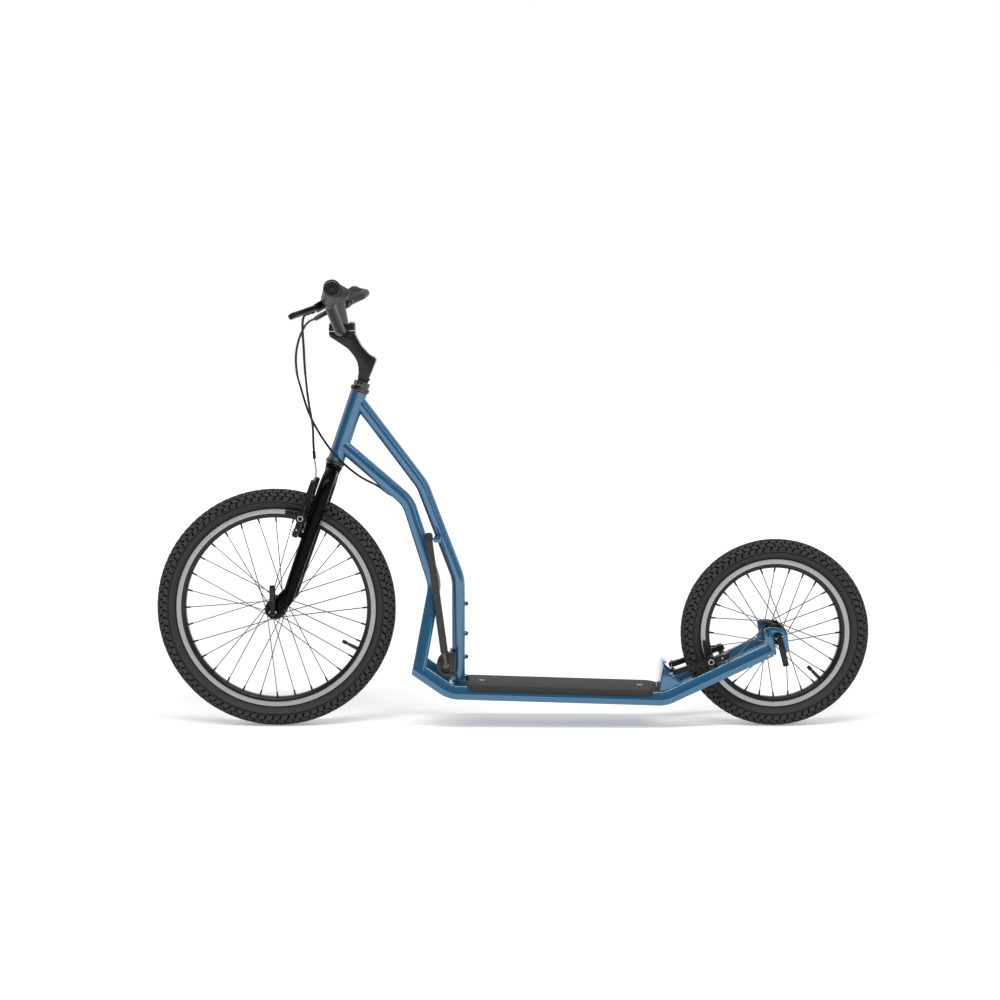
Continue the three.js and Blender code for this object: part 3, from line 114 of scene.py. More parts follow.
# Shader nodes
def set_inputs(tree, node, inputs):
    """Gives each input a value or the output of another node."""
    for socket, value in inputs.items():
        if isinstance(value, bpy.types.NodeSocket):
            tree.links.new(value, node.inputs[socket])
        else:
            node.inputs[socket].default_value = value


def add_node(tree, kind, inputs=None, **settings):
    node = tree.nodes.new("ShaderNode" + kind)
    for name, value in settings.items():
        setattr(node, name, value)
    set_inputs(tree, node, inputs or {})
    return node


def noise(tree, scale, detail, stretch=None):
    place = add_node(tree, "TexCoord").outputs["Object"]
    if stretch:
        place = add_node(tree, "Mapping", {"Vector": place, "Scale": stretch}).outputs["Vector"]
    return add_node(tree, "TexNoise", {"Vector": place, "Scale": scale, "Detail": detail}).outputs["Fac"]


def ramp(tree, source, low, high, stops=(0, 1)):
    node = add_node(tree, "ValToRGB", {"Fac": source})
    for element, place, colour in zip(node.color_ramp.elements, stops, (low, high)):
        element.position = place
        element.color = (*colour, 1)
    return node.outputs["Color"]


def map_range(tree, source, before, after):
    inputs = {"Value": source, "From Min": before[0], "From Max": before[1],
              "To Min": after[0], "To Max": after[1]}
    return add_node(tree, "MapRange", inputs).outputs["Result"]


def largest(tree, first, *others):
    for other in others:
        first = add_node(tree, "Math", {0: first, 1: other}, operation="MAXIMUM").outputs[0]
    return first


def linear(hex_colour):
    values = [int(hex_colour[i:i + 2], 16) / 255 for i in (0, 2, 4)]
    return tuple(v / 12.92 if v <= 0.04045 else ((v + 0.055) / 1.055) ** 2.4 for v in values)


def surface(name, hex_colour, metallic, rough, grain, variation, relief, specular=0.5, coat=0.0,
            coat_ior=1.5, stretch=None):
    """A material whose colour, roughness and relief follow noise; the relief is a strength and mm."""
    colour = linear(hex_colour)
    mat = bpy.data.materials.new(name)
    mat.use_nodes = True
    tree = mat.node_tree
    cloud = noise(tree, grain / 6, 3)
    fine = noise(tree, grain, 5, stretch)
    dark, light = ([c * factor for c in colour] for factor in (1 - variation, 1 + variation))
    bump = add_node(tree, "Bump", {"Height": fine, "Strength": relief[0], "Distance": relief[1] * MM})
    shader = tree.nodes["Principled BSDF"]
    shader.inputs["Base Color"].default_value = (*colour, 1)
    shader.inputs["Roughness"].default_value = rough[0]
    set_inputs(tree, shader, {
        "Base Color": ramp(tree, cloud, dark, light, (0.3, 0.7)),
        "Roughness": map_range(tree, fine, (0.25, 0.75), rough),
        "Normal": bump.outputs["Normal"],
        "Metallic": metallic,
        "Specular IOR Level": specular,
        "Coat Weight": coat,
        "Coat Roughness": 0.05,
        "Coat IOR": coat_ior,
    })
    return mat


# Materials: colour, metal, roughness from and to, grain, colour variation, relief, specular
PAINT = surface("blue_paint", "205f84", 0.45, (0.265, 0.275), 4, 0.02, (0.0005, 0.01), coat=1.0,
                coat_ior=1.62)
GLOSS_BLACK = surface("gloss_black_paint", "040404", 0, (0.2, 0.25), 500, 0.06, (0.01, 0.02), 0.05,
                      coat=0.03)
BLACK_ALLOY = surface("black_anodised_alloy", "0f0f10", 0.2, (0.34, 0.42), 1500, 0.08, (0.03, 0.03), 0.2)
BLACK_SATIN = surface("satin_black", "121213", 0.05, (0.38, 0.46), 1100, 0.08, (0.03, 0.03), 0.25)
STEM_BLACK = surface("stem_black", "191919", 0.3, (0.26, 0.32), 1100, 0.06, (0.02, 0.03))
GREY_ALLOY = surface("grey_painted_alloy", "2f2e2d", 0.3, (0.34, 0.4), 1200, 0.03, (0.01, 0.02))
STEEL = surface("bright_steel", "a9abad", 0.95, (0.18, 0.34), 900, 0.1, (0.08, 0.1), stretch=(1, 6, 1))
GUNMETAL = surface("dark_chrome", "55524e", 0.95, (0.14, 0.3), 700, 0.15, (0.06, 0.1))
SPOKE = surface("spoke_steel", "4c4d4f", 0.7, (0.25, 0.4), 1500, 0.1, (0.05, 0.05))
TRACK = surface("brake_track", "a3a4a5", 1, (0.3, 0.36), 400, 0.03, (0, 0.01))
RIM_BLACK = surface("black_rim", "161617", 0.2, (0.22, 0.34), 1300, 0.15, (0.06, 0.05), 0.4)
TYRE = surface("tyre_side", "2f2e2e", 0, (0.6, 0.75), 700, 0.08, (0.2, 0.2), 0.35)
TREAD = surface("tyre_blocks", "373636", 0, (0.7, 0.88), 900, 0.12, (0.2, 0.1), 0.25)
# The grooves' near-black colour is painted shade: the rubber is the same as the blocks', darkened where shade
# falls between them
GROOVE_SHADE = surface("tyre_grooves_painted_shade", "090909", 0, (0.8, 0.95), 900, 0.15, (0.3, 0.2), 0.1)
RUBBER = surface("black_rubber", "232222", 0, (0.55, 0.75), 1000, 0.15, (0.35, 0.2), 0.4)
MAT = surface("deck_mat_rubber", "2b2a29", 0, (0.6, 0.8), 1400, 0.1, (0.4, 0.3), 0.3)
CABLE = surface("cable_cover", "0b0b0c", 0, (0.3, 0.45), 1200, 0.15, (0.1, 0.1), 0.3)
GRIP = surface("grip_rubber", "232324", 0, (0.5, 0.6), 1300, 0.06, (0.06, 0.05), 0.4)
PLUG = surface("end_plug", "0e0e0f", 0, (0.3, 0.42), 1300, 0.1, (0.1, 0.05), 0.4)
PAD = surface("pad_rubber", "1d1d1e", 0, (0.6, 0.8), 900, 0.15, (0.3, 0.2), 0.35)
LEG_METAL = surface("leg_metal", "5b5a58", 0.7, (0.28, 0.4), 900, 0.06, (0.03, 0.03))
BRASS = surface("valve_brass", "8a7a4a", 0.9, (0.25, 0.4), 1200, 0.1, (0.08, 0.1))


# Outlines and paths
def arc(centre, radius, start, end, steps):
    """Points along an arc; the angles are in radians."""
    angles = (start + (end - start) * k / steps for k in range(steps + 1))
    return [(centre[0] + radius * math.cos(a), centre[1] + radius * math.sin(a)) for a in angles]


def circle(radius, sides):
    return arc((0, 0), radius, 0, 2 * math.pi, sides)[:-1]


def quadratic(start, middle, end, steps):
    shares = (k / steps for k in range(steps + 1))
    return [(1 - t) ** 2 * start + 2 * t * (1 - t) * middle + t * t * end for t in shares]


def rounded(corners, radius, steps=3):
    """A closed outline with each corner rounded."""
    corners = [Vector(corner) for corner in corners]
    out = []
    for i, here in enumerate(corners):
        before = corners[i - 1] - here
        after = corners[(i + 1) % len(corners)] - here
        reach = min(radius, before.length * 0.45, after.length * 0.45)
        start, end = here + before.normalized() * reach, here + after.normalized() * reach
        out += [tuple(point) for point in quadratic(start, here, end, steps)]
    return out


def bent(corners, bend, steps=10):
    """Straight runs joined by bends; gives the points of the middle line."""
    corners = [Vector(corner) for corner in corners]
    points = [corners[0]]
    for last, here, following in zip(corners, corners[1:], corners[2:]):
        before, after = (here - last).normalized(), (following - here).normalized()
        reach = bend * math.tan(before.angle(after) / 2)
        points += quadratic(here - before * reach, here, here + after * reach, steps)
    return points + [corners[-1]]


def smooth_path(points, per_span=6):
    """A curve through all the points (centripetal)."""
    points = [Vector(point) for point in points]
    padded = [points[0] * 2 - points[1], *points, points[-1] * 2 - points[-2]]
    out = []
    for i in range(1, len(padded) - 2):
        p0, p1, p2, p3 = padded[i - 1:i + 3]
        knots = [0.0]
        for a, b in ((p0, p1), (p1, p2), (p2, p3)):
            knots.append(knots[-1] + max((b - a).length, 1e-6) ** 0.5)
        for step in range(per_span):
            t = knots[1] + (knots[2] - knots[1]) * step / per_span
            a1 = p0.lerp(p1, (t - knots[0]) / (knots[1] - knots[0]))
            a2 = p1.lerp(p2, (t - knots[1]) / (knots[2] - knots[1]))
            a3 = p2.lerp(p3, (t - knots[2]) / (knots[3] - knots[2]))
            b1 = a1.lerp(a2, (t - knots[0]) / (knots[2] - knots[0]))
            b2 = a2.lerp(a3, (t - knots[1]) / (knots[3] - knots[1]))
            out.append(b1.lerp(b2, (t - knots[1]) / (knots[2] - knots[1])))
    return out + [points[-1]]


def skin(rings, size, closed=True, joined=False, caps=False):
    """Faces between rings of points; joined ties the last ring to the first, caps fill the ends."""
    faces = []
    for ring in range(rings if joined else rings - 1):
        here, there = ring * size, (ring + 1) % rings * size
        for k in range(size if closed else size - 1):
            after = (k + 1) % size
            faces.append((here + k, here + after, there + after, there + k))
    if caps:
        faces += [tuple(range(size))[::-1], tuple(range((rings - 1) * size, rings * size))]
    return faces


SHARP_ANGLE = 34


class Piece:
    """Gathers the shapes of one piece, in millimetres."""

    def __init__(self, name):
        self.name = name
        self.mesh = bmesh.new()
        self.materials = []

    def add(self, verts, faces, mat, matrix=HERE, bevel=0.0, bevel_steps=2, limit=30):
        """Adds a mesh, with a bevel on the edges that turn by more degrees than the limit."""
        if mat not in self.materials:
            self.materials.append(mat)
        part = bmesh.new()
        made = [part.verts.new(v) for v in verts]
        for face in faces:
            part.faces.new([made[i] for i in face])
        bmesh.ops.remove_doubles(part, verts=part.verts, dist=1e-4)
        bmesh.ops.recalc_face_normals(part, faces=part.faces)
        if bevel:
            sharp = [e for e in part.edges if len(e.link_faces) == 2
                     and e.calc_face_angle(0) > math.radians(limit)]
            bmesh.ops.bevel(part, geom=sharp, offset=bevel, segments=bevel_steps, profile=0.5,
                            affect="EDGES", clamp_overlap=True)
        bmesh.ops.transform(part, matrix=matrix, verts=part.verts)
        if matrix.determinant() < 0:
            bmesh.ops.reverse_faces(part, faces=part.faces)
        for face in part.faces:
            face.material_index = self.materials.index(mat)
        holder = bpy.data.meshes.new("part")
        part.to_mesh(holder)
        part.free()
        self.mesh.from_mesh(holder)
        bpy.data.meshes.remove(holder)

    def lathe(self, profile, mat, segments=48, matrix=HERE, closed=False):
        """A profile of (radius, along) turned round Y."""
        verts = [(r * x, y, r * z) for x, z in circle(1, segments) for r, y in profile]
        self.add(verts, skin(segments, len(profile), closed, joined=True), mat, matrix)

    def sweep(self, points, section, mat, side=None, scales=None, matrix=HERE, start_plane=None):
        """A section of (across, up) points carried along a line; start_plane trims its first end."""
        points = [Vector(p) for p in points]
        side = Vector(side) if side else (points[1] - points[0]).orthogonal()
        verts = []
        for i, point in enumerate(points):
            tangent = (points[min(i + 1, len(points) - 1)] - points[max(i - 1, 0)]).normalized()
            side = (side - tangent * side.dot(tangent)).normalized()
            up = tangent.cross(side)
            grow = scales[i] if scales else 1
            for x, y in section:
                place = point + side * (x * grow) + up * (y * grow)
                if i == 0 and start_plane:
                    on, normal = start_plane
                    place += tangent * ((on - place).dot(normal) / tangent.dot(normal))
                verts.append(place)
        self.add(verts, skin(len(points), len(section), caps=True), mat, matrix)

    def tube(self, points, radius, mat, sides=20, matrix=HERE, scales=None):
        self.sweep(points, circle(radius, sides), mat, scales=scales, matrix=matrix)

    def plate(self, outline, thickness, mat, bevel=0.6, matrix=HERE, offset=0.0, bevel_steps=2, limit=30):
        """An outline in X and Z with a thickness along Y, centred on offset."""
        count = len(outline)
        verts = [(x, offset + way * thickness / 2, z) for way in (-1, 1) for x, z in outline]
        faces = [tuple(range(count)), tuple(range(2 * count - 1, count - 1, -1))]
        faces += [(k, k + count, (k + 1) % count + count, (k + 1) % count) for k in range(count)]
        self.add(verts, faces, mat, matrix, bevel, bevel_steps, limit)

    def box(self, size, centre, mat, bevel=0.8, matrix=HERE):
        x, y, z = (s / 2 for s in size)
        outline = [(-x, -z), (x, -z), (x, z), (-x, z)]
        self.plate(outline, 2 * y, mat, bevel, matrix @ moved(*centre))

    def rod(self, start, end, radius, mat, sides=24, chamfer=0.4, end_radius=None, matrix=HERE, hollow=0.0):
        """A round bar with chamfered ends; hollow sinks a round recess into its far end."""
        start, end = Vector(start), Vector(end)
        length = (end - start).length
        top = end_radius or radius
        profile = [(0, 0), (radius - chamfer, 0), (radius, chamfer), (top, length - chamfer),
                   (top - chamfer, length)]
        if hollow:
            profile.append((hollow, length))
            length -= min(length * 0.6, hollow * 1.2)
            profile.append((hollow, length))
        profile.append((0, length))
        self.lathe(profile, mat, sides, matrix @ moved(*start) @ along_y(end - start))

    def ball(self, centre, radius, mat, matrix=HERE, squash=1.0, sides=20):
        profile = [(x, y * squash) for x, y in arc((0, 0), radius, -math.pi / 2, math.pi / 2, 10)]
        self.lathe(profile, mat, sides, matrix @ moved(*centre))

    def finish(self, body, *nodes, slot=None):
        """Makes the object, lets it ride on a body and stand for its nodes."""
        data = bpy.data.meshes.new(self.name)
        bmesh.ops.scale(self.mesh, vec=(MM, MM, MM), verts=self.mesh.verts)
        self.mesh.to_mesh(data)
        self.mesh.free()
        for mat in self.materials:
            data.materials.append(mat)
        data.polygons.foreach_set("use_smooth", [True] * len(data.polygons))
        data.set_sharp_from_angle(angle=math.radians(SHARP_ANGLE))
        thing = bpy.data.objects.new(self.name, data)
        scene.collection.objects.link(thing)
        if body:
            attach(thing, body)
        if nodes:
            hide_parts(*nodes)
        return thing


def along_y(direction):
    return Vector((0, 1, 0)).rotation_difference(Vector(direction)).to_matrix().to_4x4()


def basis(*axes):
    """The turn that gives X, Y and Z these directions."""
    return Matrix(axes).transposed().to_4x4()


def mirrored(profile, way):
    return [(r, y * way) for r, y in profile]


# Tyres. The casing is half an ellipse outside its widest place and another one inside it
TYRE_WAIST = 19
CASING_RISE, CASING_DROP = 16, 23
TREAD_EDGE, SIDE_END = math.radians(99), math.radians(154)
SHOULDER = 2.8
RIM_DEPTH, RIM_HEIGHT = 42, 19
WHEEL_SEGMENTS = 144

# Tread blocks: a row's inner and outer edge as shares of the tread, and its lean
TREAD_ROWS = ((0.02, 0.21, 1), (0.25, 0.46, -1), (0.5, 0.72, 1), (0.76, 1.0, -1))
BLOCK_PITCH, BLOCK_HEIGHT, HEIGHT_SPREAD = 17.5, 3.1, 0.12
BLOCK_WIDTH, NARROW_WIDTH, BLOCK_SLANT = 0.82, 0.74, 0.13
ROW_TURN, SIDE_TURN = 0.42, 0.25
BLOCK_TOP, BLOCK_SINK, EDGE_FALL = 0.86, 0.6, 0.6


def casing_point(radius, half, angle):
    """A point of the casing at an angle from the crown, as a radius and a distance to the side."""
    rise = CASING_RISE if angle < math.pi / 2 else CASING_DROP
    return radius - TYRE_WAIST + rise * math.cos(angle), half * math.sin(angle)


def add_tread(piece, radius, half, seed):
    """Rows of slanted blocks on both halves of the tyre, each row turned by a part of a block."""
    count = round(2 * math.pi * radius / BLOCK_PITCH)
    pitch = 2 * math.pi / count
    chance = random.Random(seed)
    verts, faces = [], []
    for side in (-1, 1):
        for row, (inner, outer, lean) in enumerate(TREAD_ROWS):
            last = row == len(TREAD_ROWS) - 1
            for i in range(count):
                middle = (i + ROW_TURN * row + SIDE_TURN * (side > 0)) * pitch
                width = pitch * (NARROW_WIDTH if last and i % 2 else BLOCK_WIDTH)
                height = BLOCK_HEIGHT + chance.uniform(-HEIGHT_SPREAD, HEIGHT_SPREAD)
                start = len(verts)
                for share in (0, 0.5, 1):
                    across = (inner + (outer - inner) * share) * TREAD_EDGE
                    r, y = casing_point(radius, half - SHOULDER, across)
                    nudge = lean * side * pitch * BLOCK_SLANT * (share - 0.5) * 2
                    lift = height * (1 - EDGE_FALL * share if last else 1)
                    foot = (r - BLOCK_SINK, y, 1)
                    top = (r + math.cos(across) * lift, y + math.sin(across) * lift, BLOCK_TOP)
                    for out, along, grow in (foot, top):
                        for way in (-1, 1):
                            angle = middle + nudge + way * width / 2 * grow
                            verts.append((out * math.cos(angle), along * side, out * math.sin(angle)))
                for a in (start, start + 4):
                    b = a + 4
                    faces += [(a + 2, a + 3, b + 3, b + 2), (a, a + 2, b + 2, b),
                              (a + 1, b + 1, b + 3, a + 3)]
                a, b = start, start + 8
                faces += [(a, a + 1, a + 3, a + 2), (b, b + 2, b + 3, b + 1)]
    piece.add(verts, faces, TREAD)


def make_tyre(end, radius, width, x, body, seed):
    piece = Piece(f"{end}_tyre_treaded")
    half = width / 2
    crown = [casing_point(radius, half - SHOULDER, TREAD_EDGE * k / 16) for k in range(17)]
    side = [casing_point(radius, half, TREAD_EDGE + (SIDE_END - TREAD_EDGE) * k / 12) for k in range(1, 13)]
    side = [crown[-1]] + side
    bead = [(radius - 42.6, 11.6), (radius - 44, 9.5), (radius - 40, 8.5)]
    # The casing between the blocks gets the near-black painted shade of the grooves
    piece.lathe(mirrored(reversed(crown), -1) + crown[1:], GROOVE_SHADE, WHEEL_SEGMENTS)
    for way in (1, -1):
        piece.lathe(mirrored(side + bead, way), TYRE, WHEEL_SEGMENTS)
        # Two thin raised rings on each sidewall, coloured with the same near-black painted shade
        for (r, y), size in ((side[-1], 0.55), (side[2], 0.7)):
            line = [(r + dr, y + 0.2 + dy) for dr, dy in circle(size, 6)]
            piece.lathe(mirrored(line, way), GROOVE_SHADE, WHEEL_SEGMENTS, closed=True)
    add_tread(piece, radius, half, seed)
    bmesh.ops.transform(piece.mesh, matrix=moved(x, 0, radius), verts=piece.mesh.verts)
    piece.finish(body, f"{end}_tyre", slot="tyre_rubber")


# Rims, hubs and spokes. A rim's profile is (depth below its edge, distance to the side)
RIM_SIDE = [(0.3, 10.6), (-0.3, 11.4), (0, 12.4), (0.8, 12.5), (4.8, 12.15), (9.2, 12.5), (9.7, 12.4)]
RIM_BACK = [(9.7, 12.4), (10.2, 11.9), (11.6, 12.2), (15.6, 10.6), (18, 8.2), (RIM_HEIGHT, 5.5),
            (RIM_HEIGHT, 0)]
RIM_WELL = [(0.3, 10.6), (7.5, 9.5), (11, 5), (11, 0)]
HUB_SHELL = [(11.3, 35), (14.2, 35), (15, 34.2), (15, 30.6), (21.2, 30), (22, 29.2), (22, 27.4), (21.2, 26.6),
             (17, 25), (13.6, 20), (12.6, 12), (12.4, 0)]
HUB_SEAL = [(11.3, 34.9), (10.8, 34.4), (8.2, 34.4)]
SPOKE_CROSS = 3
FLANGE_R, FLANGE_Y, FLANGE_STEP = 19, 28.3, 2.3


def make_rim(end, radius, x, body):
    piece = Piece(f"{end}_rim_profiled")
    place = moved(x, 0, radius)
    for way in (1, -1):
        for profile, mat in ((RIM_SIDE, TRACK), (RIM_BACK, RIM_BLACK), (RIM_WELL, RIM_BLACK)):
            line = [(radius - RIM_DEPTH - depth, y) for depth, y in profile]
            piece.lathe(mirrored(line, way), mat, WHEEL_SEGMENTS, place)
    piece.finish(body, f"{end}_rim", slot="rim_alloy")


def make_hub(end, radius, count, x, body):
    piece = Piece(f"{end}_hub_and_spokes")
    place = moved(x, 0, radius)
    rim = radius - RIM_DEPTH - RIM_HEIGHT
    piece.lathe(HUB_SHELL + mirrored(reversed(HUB_SHELL[:-1]), -1), BLACK_ALLOY, 40, place)
    for way in (1, -1):
        piece.lathe(mirrored(HUB_SEAL, way), STEEL, 32, place)
    for i in range(count):
        side = 1 if i % 2 else -1
        crossing = 1 if i // 2 % 2 else -1
        rim_angle = i * 2 * math.pi / count
        hub_angle = rim_angle + crossing * SPOKE_CROSS * 2 * math.pi / (count / 2)
        foot = Vector((FLANGE_R * math.cos(hub_angle), side * (FLANGE_Y + crossing * FLANGE_STEP),
                       FLANGE_R * math.sin(hub_angle)))
        tip = Vector((rim * math.cos(rim_angle), side * 1.15, rim * math.sin(rim_angle)))
        along = (foot - tip).normalized()
        piece.tube([foot, tip + along * 4], 0.95, SPOKE, 7, place)
        piece.rod(tip - along, tip + along * 10.5, 2.1, BLACK_ALLOY, 8, 0.5, end_radius=1.7, matrix=place)
        piece.ball(foot + Vector((0, crossing * side * 0.6, 0)), 1.9, SPOKE, place, sides=8)
    piece.finish(body, f"{end}_laced_hub", slot="black_alloy")


def make_tube_and_valve(end, radius, angle, x, body):
    piece = Piece(f"{end}_tube_and_valve")
    place = moved(x, 0, radius)
    piece.lathe([(radius - 27 + r, y) for r, y in circle(13, 12)], RUBBER, 64, place, closed=True)
    turn = place @ turned(-angle, "Y")
    base = radius - RIM_DEPTH - RIM_HEIGHT
    piece.rod((base + 2, 0, 0), (base - 22, 0, 0), 4, RUBBER, 20, 0.6, end_radius=3.3, matrix=turn)
    piece.rod((base - 22, 0, 0), (base - 24.5, 0, 0), 2.7, BRASS, 16, 0.3, matrix=turn)
    cap = [(0, 0), (3.6, 0), (3.9, 0.6), (3.9, 2), (3.6, 2.3), (3.9, 2.6), (3.9, 9.4), (3.1, 10.8), (0, 11)]
    piece.lathe(cap, BLACK_SATIN, 20, turn @ moved(base - 24.2, 0, 0) @ turned(90, "Z"))
    piece.finish(body, f"{end}_inner_tube", slot="rubber")


# Quick releases. CAM_OUT is from the dropout's face to the lever's turning axis
CAM_OUT = 14


def make_skewer(end, x, z, body, turn, face):
    piece = Piece(f"{end}_skewer_and_nut")
    place = moved(x, 0, z) @ turned(turn, "Y")
    piece.rod((0, -face, 0), (0, face, 0), 2.4, STEEL, 16, 0.2, matrix=place)
    nut = [(0, 0), (9, 0), (9.2, 1.4), (8.2, 2), (8.2, 8.5), (6.6, 11), (0, 11)]
    head = [(0, 0), (9, 0), (9.2, 1), (8.4, 5), (7.4, 6), (0, 6)]
    for profile, way in ((nut, 1), (head, -1)):
        piece.lathe([(r, (face + y) * way) for r, y in profile], BLACK_ALLOY, 32, place)
    cam_y = -face - CAM_OUT
    for ear in (-6.8, 6.8):
        piece.box((2.6, 11, 8), (ear, cam_y + 3.6, 0), BLACK_ALLOY, 1.0, place)
    piece.rod((-8.3, cam_y, 0), (8.3, cam_y, 0), 2.2, STEEL, 16, 0.3, matrix=place)
    piece.finish(body, f"{end}_skewer", slot="dark_steel")


def make_quick_lever(end, x, z, turn, length, face):
    piece = Piece(f"{end}_quick_lever_forged")
    place = moved(x, -face - CAM_OUT, z) @ turned(turn, "Y")
    piece.rod((-5, 0, 0), (5, 0, 0), 6.4, BLACK_ALLOY, 28, 0.8, matrix=place)
    outline = [(-4.8, 2), (4.8, 2), (4.9, 9), (6, 19), (6, length), (-6, length), (-6, 19), (-4.9, 9)]
    piece.plate(rounded(outline, 3, 4), 5, BLACK_SATIN, 1.2, place, offset=-1.2, bevel_steps=3)
    inlay = [(-3.4, 22), (3.4, 22), (3.4, length - 6), (-3.4, length - 6)]
    piece.plate(rounded(inlay, 2.6, 4), 0.5, RUBBER, 0.15, place, offset=-3.8)
    piece.finish(f"{end}_quick_lever", f"{end}_quick_release_lever", slot="black_alloy")


# Each wheel: radius, tyre width, spokes, valve angle, axle, seed, what carries it,
# and its quick release: turn, length and the dropout's face
WHEELS = (("front", FRONT_R, 50.4, 32, -27.5, FRONT_X, 7, "steered", 0, 57, 59.3),
          ("rear", REAR_R, 47, 28, -45.5, REAR_X, 11, "root", 180 - 14.2, 62, 58.3))


def make_wheels():
    for end, radius, width, spokes, valve, x, seed, carrier, turn, length, face in WHEELS:
        body = f"{end}_wheel"
        make_tyre(end, radius, width, x, body, seed)
        make_rim(end, radius, x, body)
        make_hub(end, radius, spokes, x, body)
        make_tube_and_valve(end, radius, valve, x, body)
        make_skewer(end, x, radius, carrier, turn, face)
        make_quick_lever(end, x, radius, turn, length, face)


# Fork and headset
def add_boss(piece, place, mat):
    """A brake boss with the stud that an arm turns on, pointing along -X."""
    piece.rod((0, 0, 0), (-21, 0, 0), 6.5, mat, 24, 0.6, matrix=place)
    piece.rod((-20, 0, 0), (-33.6, 0, 0), 3.9, STEEL, 20, 0.3, matrix=place)


def make_fork():
    piece = Piece("fork_unicrown")
    bend = FORK_Y * 0.8
    top = 326 - FORK_RADIUS
    taper_start = 236
    corners = [(-FORK_Y, AXLE_RISE), (-FORK_Y, top - bend / 2), (-FORK_Y / 3, top), (FORK_Y / 3, top),
               (FORK_Y, top - bend / 2), (FORK_Y, AXLE_RISE)]
    path = bent([(0, y, z) for y, z in corners], bend, 12)
    line = []
    for a, b in zip(path, path[1:]):
        parts = 6 if (b - a).length > 60 else 1
        line += [a.lerp(b, k / parts) for k in range(parts)]
    line.append(path[-1])
    shares = (min(max((taper_start - p.z) / (taper_start - AXLE_RISE), 0), 1) for p in line)
    scales = [1 - 0.12 * share for share in shares]
    piece.tube(line, FORK_RADIUS, GLOSS_BLACK, 36, STEER, scales=scales)
    crown = [(14.5, 292), (15.6, 308), (17, 320), (18.3, 323.5), (18.3, 327.8), (STEERER_RADIUS, 328.1)]
    steerer = [(STEERER_RADIUS, 320), (STEERER_RADIUS, 513.1), (11.3, 513.1), (11.3, 400)]
    piece.lathe(crown, GLOSS_BLACK, 40, STEER_AXIS)
    piece.lathe(steerer, STEEL, 32, STEER_AXIS)
    tab = [(11, 52), (-11, 52), (-31.7, 10), (-31.7, -6.5), (-25.5, -13), (-23.8, -13), (-23.8, 0),
           (-13.6, 0), (-13.6, -13), (-12, -13), (-5.7, 0), (11, 27)]
    for way in (-1, 1):
        add_boss(piece, STEER @ moved(0, way * BOSS_Y, FRONT_BOSS_RISE), GLOSS_BLACK)
        piece.plate(rounded(tab, 3, 3), 6, GLOSS_BLACK, 1.2, STEER, offset=way * 56)
        piece.ball((0, way * FORK_Y, AXLE_RISE), 12.6, GLOSS_BLACK, STEER, sides=32)
    piece.finish("steered", "fork", slot="black_paint")


def make_headset():
    cup = [(15.4, -8), (15.4, 0), (18.6, 0), (19.2, 0.8), (20.9, 2.6), (21.1, 4.6), (19.9, 5.3), (19.9, 6.2),
           (21, 6.9), (21, 8.2), (18.4, 10.6), (13.6, 11), (13.6, -8)]
    for node, edge, way in (("headset_upper_cup", HEAD_TOP, 1), ("headset_lower_cup", HEAD_BASE, -1)):
        piece = Piece(f"{node}_turned")
        piece.lathe([(r, edge + z * way) for r, z in cup], GUNMETAL, 56, STEER_AXIS, closed=True)
        piece.finish("root", node, slot="dark_steel")
    piece = Piece("headset_locknut_hex")
    piece.plate(rounded(circle(18, 6), 2, 3), 10.6, GUNMETAL, 1.2, STEER_AXIS, offset=HEAD_TOP + 16.8,
                bevel_steps=3)
    piece.finish("steered", "headset_locknut", slot="dark_steel")


def make_head_tube():
    piece = Piece("head_tube_smooth")
    profile = [(15.7, HEAD_BASE), (17.9, HEAD_BASE), (18.3, HEAD_BASE + 0.5), (18.3, HEAD_TOP - 0.5),
               (17.9, HEAD_TOP), (15.7, HEAD_TOP)]
    piece.lathe(profile, PAINT, 64, STEER_AXIS, closed=True)
    piece.finish("root", "head_tube", slot="frame_paint")


# Frame
RAIL_SECTION = [(5.5, -14.5), (10.5, -2.03), (4, 14.5), (-4, 14.5), (-10.5, -2.03), (-5.5, -14.5)]
SCREW_HEIGHTS = (104, 147, 197, 261)
TOP_TUBE_RADIUS = 14
DROPOUT = [(-30, 16), (-22, 18.5), (-14, 19.5), (-4, 19), (7, 17), (15, 11), (20, 3), (21, -8), (22.5, -20),
           (24, -29), (21, -34.5), (15.5, -32.5), (12.5, -20), (7, -9), (5.4, -7), (5.4, -3), (3.6, 3.8),
           (-3.6, 3.8), (-5.4, -3), (-5.4, -7), (-7, -9), (-6, -20), (-3, -37), (-7, -41), (-14, -33),
           (-30, -22), (-26, -8)]


def make_top_tube():
    piece = Piece("top_tube_smooth")
    tube_foot = 95.2
    corners = [(-329, 0, 696), (-191.7, 0, 513.7), (UPRIGHT_X, 0, 314.8), (UPRIGHT_X, 0, tube_foot)]
    path = bent(corners, 95, 16)
    piece.sweep(path, circle(TOP_TUBE_RADIUS, 40), PAINT, side=(0, 1, 0))
    for z in SCREW_HEIGHTS:
        piece.rod((UPRIGHT_X + 10, 0, z), (UPRIGHT_X + 16.6, 0, z), 5.2, PAINT, 20)
        piece.ball((UPRIGHT_X + 16.4, 0, z), 4.4, BLACK_SATIN)
    piece.box((16, 40, 12), (-159.5, -26, 402), PAINT, 2.2)
    weld = [(TOP_TUBE_RADIUS + 1.8 * x, 2.4 * y) for x, y in circle(1, 8)]
    piece.lathe(weld, PAINT, 48, moved(UPRIGHT_X, 0, tube_foot + 1.3) @ along_y((0, 0, 1)), closed=True)
    piece.finish("root", "top_tube", slot="frame_paint")


def rear_boss():
    """The rear bosses' middle: Z runs forward along the rails, -X up from them."""
    lean = math.radians(REAR_BOSS_LEAN)
    forward, left = Vector((-math.cos(lean), 0, -math.sin(lean))), Vector((0, -1, 0))
    place = RAIL_PATH[2].lerp(RAIL_PATH[3], REAR_BOSS_SHARE)
    return moved(place.x, 0, place.z) @ basis(left.cross(forward), left, forward)


